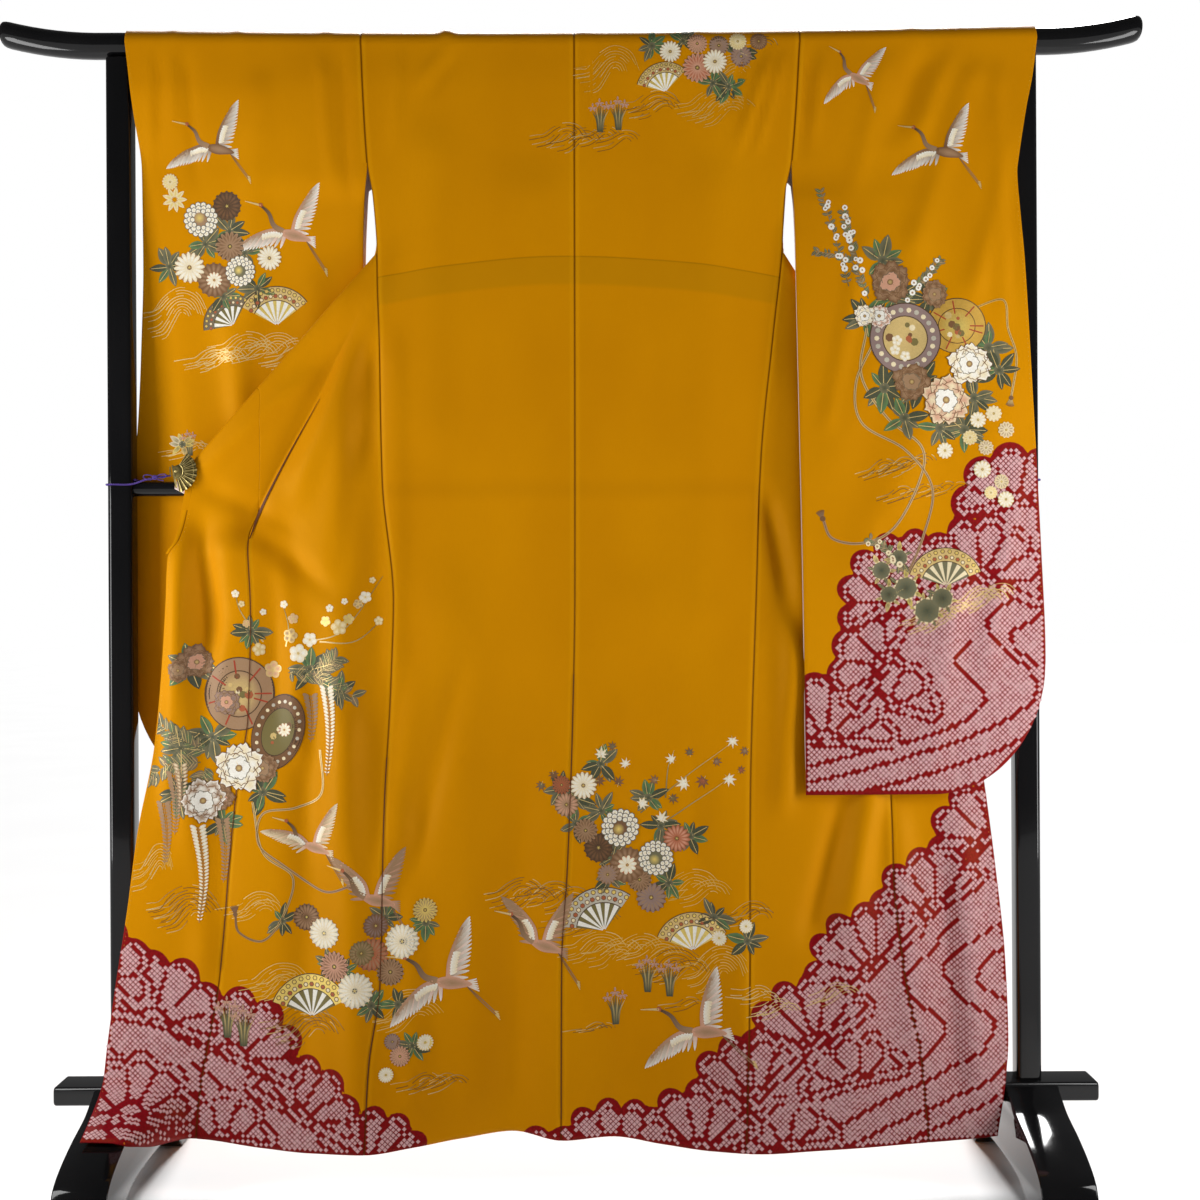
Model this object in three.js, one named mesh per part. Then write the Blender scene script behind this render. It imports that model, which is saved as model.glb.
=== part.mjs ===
// A long-sleeved kimono draped over the top rail of a free-standing lacquer stand, its back shown
// and both fronts drawn out to the sides. Millimetres: X along the stand, Y from front to back,
// Z up. The origin is on the floor, under the middle of the stand.
import * as THREE from 'three';

const { Vector3 } = THREE;

// ---- driving sizes of the stand ----
const rail = { length: 1700, radius: 19.5, height: 1698.5, sag: 6, rise: 20.5, riseFrom: 700 };
const post = { size: 37, reach: 672, corner: 7 };
const bridge = { height: 1038, radius: 11 };
const plate = { length: 1541, depth: 68, top: 155, thickness: 28, corner: 5 };
const foot = { width: 77, reach: 671, seat: 126.7, shoulder: 150, half: 250 };
const clip = { radius: 38, thickness: 2.6, ribs: 9, open: 138, lean: -80, out: 18, down: 4 };
const cord = { radius: 1.3, sides: 6, height: 1044, steps: 60 };
const roundSides = 16;                  // of the round rails
const joint = 0.3;                      // gap between touching pieces

// ---- driving sizes of the cloth ----
const wall = 2;                         // cloth and lining together
const seam = 0.3;                       // gap between sewn pieces
const ease = 0.8;                       // cloth over the rail
const wrap = rail.radius + ease + wall / 2;
const openEnd = 1383;                   // height where each side seam begins
const armholeEnd = 1515;                // height where each sleeve leaves the body
const sewn = 2.4;                       // middle-to-middle of two layers sewn together
const neckLeft = -87;                   // neck opening on the shoulder fold
const neckRight = 95;
const collarWidth = 50;
const collarLift = 0.7;                 // collar's clearance over the rail
const collarDrop = { side: 57, middle: 60, neck: 55, sag: 27 };   // its free edge behind the neck
const collarEnd = { step: 0.13, wide: 12, narrow: 5 };   // its last stretch, below the clip
const okumiTop = 0.3;                   // where the overlap panel's point starts, along the front's path
const okumiShare = 0.37;                // its share of the width at the turned edge
const okumiPoint = 0.008;               // its share at the point where it starts
const rollRadius = 7;                   // of the turned edge
const swagBelly = 130;                  // how far a hidden front sags between its edges
const hemLine = 90;                     // height at which a hem's place along X is read

// ---- small helpers ----
const lerp = (a, b, t) => a + (b - a) * t;
const clamp01 = (t) => Math.min(1, Math.max(0, t));
const smooth = (t) => clamp01(t) ** 2 * (3 - 2 * clamp01(t));

// Smooth curve through one column of a table, along another column (monotone cubic).
function column(rows, along, name) {
  const sorted = [...rows].sort((a, b) => a[along] - b[along]);
  const xs = sorted.map((row) => row[along]);
  const ys = sorted.map((row) => row[name]);
  const slope = xs.slice(1).map((x, i) => (ys[i + 1] - ys[i]) / (x - xs[i]));
  const tangent = xs.map((x, i) => {
    if (i === 0) return slope[0];
    if (i === xs.length - 1) return slope[i - 1];
    return slope[i - 1] * slope[i] <= 0 ? 0 : 2 / (1 / slope[i - 1] + 1 / slope[i]);
  });
  return (x) => {
    if (x <= xs[0]) return ys[0];
    if (x >= xs[xs.length - 1]) return ys[xs.length - 1];
    const i = xs.findIndex((value) => value > x) - 1;
    const h = xs[i + 1] - xs[i];
    const t = (x - xs[i]) / h;
    const near = (1 + 2 * t) * (1 - t) ** 2 * ys[i] + t ** 2 * (3 - 2 * t) * ys[i + 1];
    return near + h * t * (1 - t) * ((1 - t) * tangent[i] - t * tangent[i + 1]);
  };
}

// ---- outlines of the cloth, a row for each height ----
const centreSeam = column([
  { z: 1698, x: 5 }, { z: 884, x: 2 }, { z: 700, x: -2 }, { z: 476, x: -11 }, { z: 336, x: -20 },
  { z: 78, x: -22 },
], 'z', 'x');

const sides = {
  left: {
    sign: -1,
    neck: neckLeft,
    sideSeam: column([
      { z: 1698, x: -311 }, { z: 1515, x: -301.5 }, { z: 1468, x: -294 }, { z: 1383, x: -288 },
      { z: 1046, x: -281.5 }, { z: 869, x: -265 }, { z: 728, x: -270 }, { z: 577, x: -278 },
      { z: 308, x: -284 }, { z: 197, x: -299 }, { z: 60, x: -306 },
    ], 'z', 'x'),
    okumiSeam: column([
      { z: 1180, x: -460 }, { z: 1009, x: -466 }, { z: 965, x: -479 }, { z: 853, x: -475 },
      { z: 700, x: -479 }, { z: 599, x: -495 }, { z: 477, x: -508 }, { z: 333, x: -519 },
      { z: 143, x: -551 }, { z: 70, x: -557 },
    ], 'z', 'x'),
    frontEdge: column([
      { z: 1068, x: -557 }, { z: 1000, x: -570 }, { z: 960, x: -579 }, { z: 935, x: -594 },
      { z: 869, x: -597 }, { z: 663, x: -615 }, { z: 532, x: -640 }, { z: 417, x: -655 },
      { z: 305, x: -672 }, { z: 195, x: -686 }, { z: 110, x: -693 },
    ], 'z', 'x'),
    turnEnd: { x: -569, z: 1068 },      // far end of the turned edge, at the clip
    reach: 460,                         // how far back the hidden front swings before it turns
    hiddenDepth: -17,
    dropStart: { side: 0.25, neck: 0.1 },
    dropEnd: { side: 1, neck: 0.8 },
  },
  right: {
    sign: 1,
    neck: neckRight,
    sideSeam: column([
      { z: 1698, x: 339 }, { z: 1515, x: 325.5 }, { z: 1468, x: 316 }, { z: 1383, x: 311 },
      { z: 1268, x: 298 }, { z: 1076, x: 278 }, { z: 884, x: 270 }, { z: 588, x: 258 },
      { z: 331, x: 254 }, { z: 60, x: 246 },
    ], 'z', 'x'),
    okumiSeam: column([
      { z: 1176, x: 436 }, { z: 1000, x: 451 }, { z: 800, x: 462 }, { z: 464, x: 466 },
      { z: 365, x: 475 }, { z: 280, x: 487 }, { z: 198, x: 504 }, { z: 70, x: 515 },
    ], 'z', 'x'),
    frontEdge: column([
      { z: 1060, x: 508 }, { z: 1000, x: 522 }, { z: 955, x: 532 }, { z: 930, x: 552 },
      { z: 800, x: 576 }, { z: 598, x: 603 }, { z: 475, x: 618 }, { z: 335, x: 631 },
      { z: 225, x: 634 }, { z: 170, x: 630 }, { z: 80, x: 616 },
    ], 'z', 'x'),
    turnEnd: { x: 519, z: 1060 },
    reach: 430,
    hiddenDepth: -15,
    dropStart: { side: 0, neck: 0 },
    dropEnd: { side: 0.8, neck: 0.8 },
  },
};

// ---- depth of the cloth that hangs in front of the stand ----
const hemRows = [
  { x: -720, z: 114, y: -62 }, { x: -648, z: 113, y: -62 }, { x: -623, z: 104, y: -62 },
  { x: -599, z: 92, y: -60 }, { x: -531, z: 82, y: -52 }, { x: -457, z: 73, y: -60 },
  { x: -381, z: 69, y: -75 }, { x: -308, z: 69, y: -85 }, { x: -237, z: 75, y: -70 },
  { x: -166, z: 83, y: -50 }, { x: -93, z: 91, y: -42 }, { x: -19, z: 78, y: -50 },
  { x: 54, z: 83, y: -46 }, { x: 126, z: 76, y: -62 }, { x: 198, z: 70, y: -78 },
  { x: 270, z: 68, y: -86 }, { x: 343, z: 70, y: -80 }, { x: 416, z: 72, y: -72 },
  { x: 491, z: 75, y: -62 }, { x: 565, z: 78, y: -54 }, { x: 640, z: 84, y: -50 },
];
const hemHeight = column(hemRows, 'x', 'z');
const hemDepth = column(hemRows, 'x', 'y');
const upperDepth = column([
  { x: -700, y: -35 }, { x: -350, y: -35 }, { x: -288, y: -24 }, { x: 0, y: -23 },
  { x: 300, y: -24 }, { x: 345, y: -25 },
], 'x', 'y');
const waistHeight = 1000;               // below this the cloth swings forward to the hem
const fallPower = 1.25;                 // how late the cloth swings forward
// The left corner slides out over the stand's foot.
const toe = { height: 175, low: 113, from: -560, over: 80, reach: 103 };
const clipDent = { x: -569, z: 1060, radius: 100, depth: 6 };
const foldEnd = 120;                    // length over which a fold fades in and out

// The largest folds: soft ridges (out > 0) and troughs along lines, each with its own width.
const folds = [
  { x0: -297, z0: 1350, x1: -456, z1: 1020, wide: 26, out: 7 },
  { x0: -456, z0: 1020, x1: -492, z1: 900, wide: 24, out: 6 },
  { x0: -420, z0: 1010, x1: -440, z1: 700, wide: 30, out: -7 },
  { x0: -330, z0: 1150, x1: -350, z1: 500, wide: 34, out: 8 },
  { x0: -590, z0: 960, x1: -560, z1: 500, wide: 24, out: 7 },
  { x0: -540, z0: 900, x1: -530, z1: 400, wide: 26, out: -6 },
  { x0: -190, z0: 900, x1: -150, z1: 120, wide: 45, out: 6 },
  { x0: 110, z0: 800, x1: 120, z1: 120, wide: 50, out: -5 },
  { x0: 330, z0: 1200, x1: 335, z1: 700, wide: 30, out: 5 },
  { x0: 420, z0: 640, x1: 400, z1: 150, wide: 30, out: 7 },
  { x0: 560, z0: 560, x1: 590, z1: 150, wide: 26, out: 6 },
];

function foldDepth(list, x, z) {
  let out = 0;
  for (const fold of list) {
    const dx = fold.x1 - fold.x0;
    const dz = fold.z1 - fold.z0;
    const length = Math.hypot(dx, dz);
    const along = ((x - fold.x0) * dx + (z - fold.z0) * dz) / length;
    const across = ((x - fold.x0) * dz - (z - fold.z0) * dx) / length;
    const ends = smooth(along / foldEnd + 0.5) * smooth((length - along) / foldEnd + 0.5);
    out += fold.out * ends * Math.exp(-((across / fold.wide) ** 2));
  }
  return -out;
}

function hangDepth(x, z) {
  const fall = clamp01((waistHeight - z) / (waistHeight - hemHeight(x))) ** fallPower;
  const slide = clamp01((toe.height - z) / (toe.height - toe.low)) ** 1.5;
  const overFoot = smooth((toe.from - x) / toe.over) * slide;
  const away = Math.hypot(x - clipDent.x, z - clipDent.z) / clipDent.radius;
  const y = lerp(upperDepth(x), hemDepth(x), fall) - toe.reach * overFoot;
  return y + clipDent.depth * smooth(1.2 - away) + foldDepth(folds, x, z) * smooth((rail.height - z) / 100);
}

// ---- the rail's own line, and cloth laid round it ----
function railHeight(x) {
  const dip = rail.sag * Math.max(0, 1 - (x / post.reach) ** 2);
  const past = Math.max(0, Math.abs(x) - rail.riseFrom) / (rail.length / 2 - rail.riseFrom);
  return rail.height - dip + rail.rise * past ** 2;
}

function onRail(x, angle, radius = wrap) {   // angle 0 is the front of the rail, 90 its top
  const turn = THREE.MathUtils.degToRad(angle);
  return new Vector3(x, -radius * Math.cos(turn), railHeight(x) + radius * Math.sin(turn));
}

// ---- solids ----
const group = new THREE.Group();

function addSolid(name, points, faces, material) {
  const geometry = new THREE.BufferGeometry();
  const positions = new Float32Array(points.flatMap((p) => [p.x, p.y, p.z]));
  let volume = 0;
  for (const [a, b, c] of faces) {
    volume += new Vector3().crossVectors(points[b], points[c]).dot(points[a]);
  }
  const outward = volume > 0 ? faces : faces.map(([a, b, c]) => [a, c, b]);
  geometry.setAttribute('position', new THREE.BufferAttribute(positions, 3));
  geometry.setIndex(outward.flat());
  geometry.computeVertexNormals();
  const mesh = new THREE.Mesh(geometry, material);
  mesh.name = name;
  group.add(mesh);
  return mesh;
}

// A wall of cloth: grid[row][column] is its middle surface, moved out and in by half the wall.
function addCloth(name, grid, material) {
  const rows = grid.length;
  const columns = grid[0].length;
  const slopeAt = (line, k) => {         // change along a line of points, also right at its ends
    const last = line.length - 1;
    if (k > 0 && k < last) return line[k + 1].clone().sub(line[k - 1]);
    const [end, next, after] = k === 0 ? [0, 1, 2] : [last, last - 1, last - 2];
    const slope = line[next].clone().multiplyScalar(4).addScaledVector(line[end], -3).sub(line[after]);
    return k === 0 ? slope : slope.negate();
  };
  const index = (side, i, j) => side * rows * columns + i * columns + j;
  const outer = [];
  const inner = [];
  for (let i = 0; i < rows; i++) {
    for (let j = 0; j < columns; j++) {
      const down = slopeAt(grid.map((row) => row[j]), i);
      const across = slopeAt(grid[i], j);
      const normal = down.cross(across).normalize().multiplyScalar(wall / 2);
      outer.push(grid[i][j].clone().add(normal));
      inner.push(grid[i][j].clone().sub(normal));
    }
  }
  const faces = [];
  const quad = (a, b, c, d) => faces.push([a, b, c], [a, c, d]);
  for (let i = 0; i < rows - 1; i++) {
    for (let j = 0; j < columns - 1; j++) {
      quad(index(0, i, j), index(0, i + 1, j), index(0, i + 1, j + 1), index(0, i, j + 1));
      quad(index(1, i, j), index(1, i, j + 1), index(1, i + 1, j + 1), index(1, i + 1, j));
    }
    quad(index(0, i, 0), index(1, i, 0), index(1, i + 1, 0), index(0, i + 1, 0));
    const last = columns - 1;
    quad(index(0, i, last), index(0, i + 1, last), index(1, i + 1, last), index(1, i, last));
  }
  for (let j = 0; j < columns - 1; j++) {
    quad(index(0, 0, j), index(0, 0, j + 1), index(1, 0, j + 1), index(1, 0, j));
    const last = rows - 1;
    quad(index(0, last, j), index(1, last, j), index(1, last, j + 1), index(0, last, j + 1));
  }
  return addSolid(name, [...outer, ...inner], faces, material);
}

// A closed body through rings of points, with a flat end on the first and last ring.
function addLoft(name, rings, material) {
  const sides = rings[0].length;
  const points = rings.flat();
  const faces = [];
  for (let i = 0; i < rings.length - 1; i++) {
    for (let j = 0; j < sides; j++) {
      const a = i * sides + j;
      const b = i * sides + (j + 1) % sides;
      faces.push([a, b, b + sides], [a, b + sides, a + sides]);
    }
  }
  for (const end of [0, rings.length - 1]) {
    const middle = points.length;
    points.push(rings[end].reduce((sum, p) => sum.add(p), new Vector3()).divideScalar(sides));
    for (let j = 0; j < sides; j++) {
      const a = end * sides + j;
      const b = end * sides + (j + 1) % sides;
      faces.push(end === 0 ? [middle, b, a] : [middle, a, b]);
    }
  }
  return addSolid(name, points, faces, material);
}

// ---- materials ----
const paint = (color, roughness, metalness = 0) => {
  return new THREE.MeshStandardMaterial({ color, roughness, metalness });
};
const lacquer = () => paint(0x0a0a0c, 0.15);
const silk = () => paint(0xd08a0a, 0.5);
const bronze = () => paint(0x5a4a22, 0.4, 1);
const braid = () => paint(0x2a1060, 0.7);

// ---- levels shared by pieces that are sewn to each other ----
const upperLevels = [rail.height, 1640, 1580, armholeEnd, 1450, openEnd];
const hangSteps = [0.06, 0.13, 0.2, 0.27, 0.34, 0.42, 0.5, 0.58, 0.66, 0.74, 0.81, 0.88, 0.93, 0.965, 1];
const railAngles = [0, 18, 36, 54, 72, 90];
const rollSteps = [0.16, 0.38, 0.62, 0.84];
const pageStart = 0.012;                // first row below the turned edge
const swagSteps = [0, 0.055, 0.11, 0.22, 0.345, 0.47, 0.6, 0.72, 0.82, 0.9, 0.96, 1];

function hangHeight(x, step) {
  return lerp(openEnd, hemHeight(x), step);
}

// ---- back panels: hem to shoulder fold, in front of the rail ----
function backPanel(side) {
  const columns = 10;
  const inward = -side.sign * seam / 2;
  const grid = [];
  const edges = (z) => [centreSeam(z) - inward, side.sideSeam(z) + inward];
  for (const step of [...hangSteps].reverse()) {
    grid.push(Array.from({ length: columns + 1 }, (_, j) => {
      const share = j / columns;
      const z = hangHeight(lerp(...edges(hemLine), share), step);
      const x = lerp(...edges(z), share);
      return new Vector3(x, hangDepth(x, z), z);
    }));
  }
  for (const z of [...upperLevels.slice(1)].reverse()) {
    grid.push(Array.from({ length: columns + 1 }, (_, j) => {
      const x = lerp(...edges(z), j / columns);
      return new Vector3(x, hangDepth(x, z), z);
    }));
  }
  for (const angle of railAngles) {
    const tilt = angle === 90 ? seam / 2 / wrap * THREE.MathUtils.RAD2DEG : 0;
    grid.push(Array.from({ length: columns + 1 }, (_, j) => {
      return onRail(lerp(...edges(rail.height), j / columns), angle - tilt);
    }));
  }
  return grid;
}

// ---- fronts: down behind the rail, out to the side, over the turned edge and down to the hem ----
function turnPoint(side, u) {           // on the turned edge, from the side seam (0) to the clip (1)
  return new Vector3(
    lerp(side.sideSeam(openEnd), side.turnEnd.x, u), 0, lerp(openEnd, side.turnEnd.z, u));
}

function turnAcross(side) {             // square to the turned edge, pointing into the front
  const along = turnPoint(side, 1).sub(turnPoint(side, 0)).normalize();
  return new Vector3(side.sign * along.z, 0, -side.sign * along.x);
}

function swagPoint(side, u, t) {        // u 0..1 side to neck, t 0..1 rail to turned edge
  const start = new Vector3(lerp(side.sideSeam(rail.height), side.neck, u), 0, 0);
  start.z = railHeight(start.x);
  const end = turnPoint(side, u);
  const across = turnAcross(side);
  const arriving = new Vector3(0, 0, -1).addScaledVector(across, 2 * across.z);
  const reach = side.reach * u + swagBelly * u * (1 - u);
  const middle = end.clone().addScaledVector(arriving, -reach);
  const point = start.multiplyScalar((1 - t) ** 2)
    .addScaledVector(middle, 2 * t * (1 - t)).addScaledVector(end, t ** 2);
  const from = lerp(side.dropStart.side, side.dropStart.neck, u);
  const to = lerp(side.dropEnd.side, side.dropEnd.neck, u);
  point.y = lerp(wrap, side.hiddenDepth, smooth((t - from) / (to - from)));
  return point;
}

const rollAt = (u) => rollRadius * smooth(u / 0.2);   // the roll tightens towards the side seam

function turnRoll(side, u, share) {     // share 0..1 round the roll of the turned edge
  const edge = turnPoint(side, u);
  const front = hangDepth(edge.x, edge.z);
  const bulge = turnAcross(side).multiplyScalar(rollAt(u) * (1 - Math.sin(Math.PI * share)));
  const point = edge.add(bulge);
  point.y = lerp(side.hiddenDepth, front, (1 - Math.cos(Math.PI * share)) / 2);
  return point;
}

// The share of the front's width at which the overlap panel is sewn on, along its path.
function okumiAt(t) {
  return 1 - lerp(okumiPoint, okumiShare, clamp01((t - okumiTop) / (1 - okumiTop)));
}

function pagePoint(side, piece, share, step) {
  const seamShare = 1 - okumiShare;
  const u = piece === 'front' ? share * seamShare : lerp(seamShare, 1, share);
  const top = turnPoint(side, u).addScaledVector(turnAcross(side), rollAt(u));
  const from = piece === 'front' ? side.sideSeam : side.okumiSeam;
  const to = piece === 'front' ? side.okumiSeam : side.frontEdge;
  const topShare = clamp01((top.x - from(top.z)) / (to(top.z) - from(top.z)));
  const inSide = lerp(topShare, share, Math.min(1, step * 1.6));
  let z = lerp(top.z, hemHeight(lerp(from(hemLine), to(hemLine), share)), step);
  if (u === 0) z = hangHeight(from(hemLine), step);
  const x = lerp(from(z), to(z), inSide);
  return new Vector3(x, hangDepth(x, z), z);
}

function frontGrid(side, piece) {
  const columns = piece === 'front' ? 8 : 5;
  const grid = [];
  const pathRow = (make, t) => grid.push(Array.from({ length: columns + 1 }, (_, j) => {
    const share = j / columns;
    const edge = okumiAt(t);
    return make(piece === 'front' ? share * edge : lerp(edge, 1, share));
  }));
  if (piece === 'front') {
    for (const angle of [...railAngles].reverse().slice(0, -1)) {
      const tilt = angle === 90 ? seam / 2 / wrap * THREE.MathUtils.RAD2DEG : 0;
      const x = (u) => lerp(side.sideSeam(rail.height), side.neck, u);
      pathRow((u) => onRail(x(u), 180 - angle + tilt), 0);
    }
  }
  const steps = piece === 'front' ? swagSteps : swagSteps.filter((t) => t >= okumiTop);
  for (const t of steps.slice(0, -1)) pathRow((u) => swagPoint(side, u, t), t);
  for (const share of rollSteps) pathRow((u) => turnRoll(side, u, share), 1);
  for (const step of [pageStart, ...hangSteps]) {
    grid.push(Array.from({ length: columns + 1 }, (_, j) => pagePoint(side, piece, j / columns, step)));
  }
  return trim(grid);
}

// Draws a grid's first and last columns in along the cloth, to leave the seam's gap.
function trim(grid) {
  for (const row of grid) {
    const end = row.length - 1;
    const pull = (from, to) => from.add(to.clone().sub(from).setLength(seam / 2));
    pull(row[0], row[1]);
    pull(row[end], row[end - 1]);
  }
  return grid;
}

// ---- collar: one band along both front edges and round the neck ----
function collarGrid() {
  const columns = 6;
  const bandPoint = (x, drop, share) => {   // behind the rail, by the length below the shoulder fold
    const quarter = wrap * Math.PI / 2;
    const radius = wrap + collarLift * Math.min(1, columns * share);
    if (drop <= quarter) return onRail(x, 90 + (drop / quarter) * 90, radius);
    return new Vector3(x, radius, railHeight(x) - (drop - quarter));
  };
  const halfBand = (side) => {
    const rows = [];
    const inward = -side.sign;
    for (const step of [collarEnd.step, 0.06, pageStart]) {
      const width = lerp(collarEnd.wide, collarEnd.narrow, step / collarEnd.step);
      const edge = pagePoint(side, 'okumi', 1, step);
      rows.push(Array.from({ length: columns + 1 }, (_, j) => {
        const point = edge.clone();
        point.x += side.sign * (seam / 2 + width * j / columns);
        return point;
      }));
    }
    const outward = turnPoint(side, 1).sub(turnPoint(side, 0)).normalize();
    for (const share of [...rollSteps].reverse()) {
      const width = lerp(collarWidth - 10, collarEnd.wide + 2, share);
      rows.push(Array.from({ length: columns + 1 }, (_, j) => {
        return turnRoll(side, 1, share).addScaledVector(outward, seam / 2 + width * j / columns);
      }));
    }
    for (const t of [...swagSteps].reverse().slice(1)) {
      const here = swagPoint(side, 1, t);
      const before = swagPoint(side, 1, Math.max(0, t - 0.02));
      const path = swagPoint(side, 1, Math.min(1, t + 0.02)).sub(before);
      const across = new Vector3(path.z * side.sign, 0, -path.x * side.sign).normalize();
      const sag = collarDrop.sag * smooth(1 - t / 0.15);
      rows.push(Array.from({ length: columns + 1 }, (_, j) => {
        const point = here.clone().addScaledVector(across, seam / 2 + collarWidth * j / columns);
        point.z -= sag * j / columns;
        return point;
      }));
    }
    const inner = side.neck + inward * collarWidth;
    for (const angle of railAngles.slice(1, -1).map((turn) => 180 - turn)) {
      const drop = wrap * THREE.MathUtils.degToRad(angle - 90);
      rows.push(Array.from({ length: columns + 1 }, (_, j) => {
        const share = j / columns;
        const x = lerp(side.neck + inward * seam / 2, inner, share);
        const free = lerp(collarDrop.side, collarDrop.middle, drop / (wrap * Math.PI / 2));
        return bandPoint(x, lerp(drop, free, share), share);
      }));
    }
    return rows;
  };
  const neckRows = [];
  const count = 9;
  for (let i = 0; i <= count; i++) {
    const share = i / count;
    const seamX = lerp(neckLeft + seam, neckRight - seam, share);
    const freeX = lerp(neckLeft + collarWidth + 3, neckRight - collarWidth - 3, share);
    neckRows.push(Array.from({ length: columns + 1 }, (_, j) => {
      const across = j / columns;
      return bandPoint(lerp(seamX, freeX, across), lerp(seam / 2, collarDrop.neck, across), across);
    }));
  }
  return [...halfBand(sides.left), ...neckRows, ...halfBand(sides.right).reverse()];
}

// ---- sleeves: one length each, from the front bottom over the rail to the hidden bottom ----
const sleeves = {
  left: {
    side: sides.left,
    bottom: 575,
    corner: { x: 165, z: 195 },
    inner: column([
      { z: 1698, x: -311 }, { z: 1515, x: -301.5 }, { z: 1465, x: -306.5 }, { z: 1377, x: -310.5 },
      { z: 1020, x: -313.5 }, { z: 575, x: -313.5 },
    ], 'z', 'x'),
    outer: column([
      { z: 1698, x: -660 }, { z: 1668, x: -656.5 }, { z: 1596, x: -649 }, { z: 1516, x: -640.5 },
      { z: 1377, x: -642 }, { z: 1250, x: -648 }, { z: 1170, x: -652.5 }, { z: 1020, x: -663 },
      { z: 869, x: -666 }, { z: 575, x: -666 },
    ], 'z', 'x'),
    hiddenOuter: null,
    depth: [
      { z: 1698.5, inner: -wrap, outer: -wrap, gapInner: 2 * wrap, gapOuter: 2 * wrap },
      { z: 1640, inner: -22, outer: -21.5, gapInner: 43.5, gapOuter: 43 },
      { z: 1580, inner: -23, outer: -14, gapInner: 44, gapOuter: 28 },
      { z: 1515, inner: -23, outer: -1.2, gapInner: 42, gapOuter: sewn },
      { z: 1450, inner: -16, outer: 4, gapInner: 37, gapOuter: sewn },
      { z: 1383, inner: -8, outer: 10, gapInner: 31, gapOuter: sewn },
      { z: 1300, inner: 0, outer: 16, gapInner: 24, gapOuter: sewn },
      { z: 1200, inner: 8, outer: 22, gapInner: 18, gapOuter: sewn },
      { z: 1100, inner: 15, outer: 24.5, gapInner: 14, gapOuter: sewn },
      { z: 575, inner: 19, outer: 24, gapInner: 14, gapOuter: sewn },
    ],
    folds: [
      { x0: -400, z0: 1640, x1: -370, z1: 900, wide: 26, out: 3 },
      { x0: -600, z0: 1400, x1: -560, z1: 700, wide: 30, out: 3 },
    ],
  },
  right: {
    side: sides.right,
    bottom: 583,
    corner: { x: 165, z: 195 },
    inner: column([
      { z: 1698, x: 339 }, { z: 1515, x: 325.5 }, { z: 1436, x: 328 }, { z: 1281, x: 330 },
      { z: 869, x: 336 }, { z: 583, x: 338 },
    ], 'z', 'x'),
    outer: column([
      { z: 1698, x: 690 }, { z: 1645, x: 683 }, { z: 1592, x: 672 }, { z: 1515, x: 659 },
      { z: 1499, x: 657 }, { z: 1436, x: 661 }, { z: 1370, x: 666 }, { z: 1178, x: 675 },
      { z: 942, x: 685 }, { z: 786, x: 690 }, { z: 583, x: 690 },
    ], 'z', 'x'),
    hiddenOuter: column([
      { z: 1698, x: 685 }, { z: 1668, x: 651 }, { z: 1535, x: 651 }, { z: 1515, x: 659 },
      { z: 1499, x: 657 }, { z: 1436, x: 661 }, { z: 1370, x: 666 }, { z: 1178, x: 675 },
      { z: 942, x: 685 }, { z: 786, x: 690 }, { z: 583, x: 690 },
    ], 'z', 'x'),
    depth: [
      { z: 1698.5, inner: -wrap, outer: -wrap, gapInner: 2 * wrap, gapOuter: 2 * wrap },
      { z: 1662, inner: -22, outer: -22, gapInner: 43, gapOuter: 43.5 },
      { z: 1620, inner: -23, outer: -24, gapInner: 41, gapOuter: 32 },
      { z: 1570, inner: -23.5, outer: -28, gapInner: 36, gapOuter: 16 },
      { z: 1515, inner: -24, outer: -31, gapInner: 29, gapOuter: sewn },
      { z: 1450, inner: -32, outer: -33, gapInner: 14, gapOuter: sewn },
      { z: 1383, inner: -39, outer: -36, gapInner: 8, gapOuter: sewn },
      { z: 1200, inner: -48, outer: -42, gapInner: 10, gapOuter: sewn },
      { z: 1060, inner: -52, outer: -46, gapInner: 12, gapOuter: sewn },
      { z: 900, inner: -56, outer: -50, gapInner: 12, gapOuter: sewn },
      { z: 583, inner: -60, outer: -54, gapInner: 12, gapOuter: sewn },
    ],
    folds: [
      { x0: 640, z0: 1450, x1: 420, z1: 900, wide: 34, out: 5 },
      { x0: 560, z0: 1500, x1: 370, z1: 1050, wide: 30, out: 3.5 },
      { x0: 660, z0: 1200, x1: 520, z1: 760, wide: 34, out: 4 },
    ],
  },
};

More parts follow.
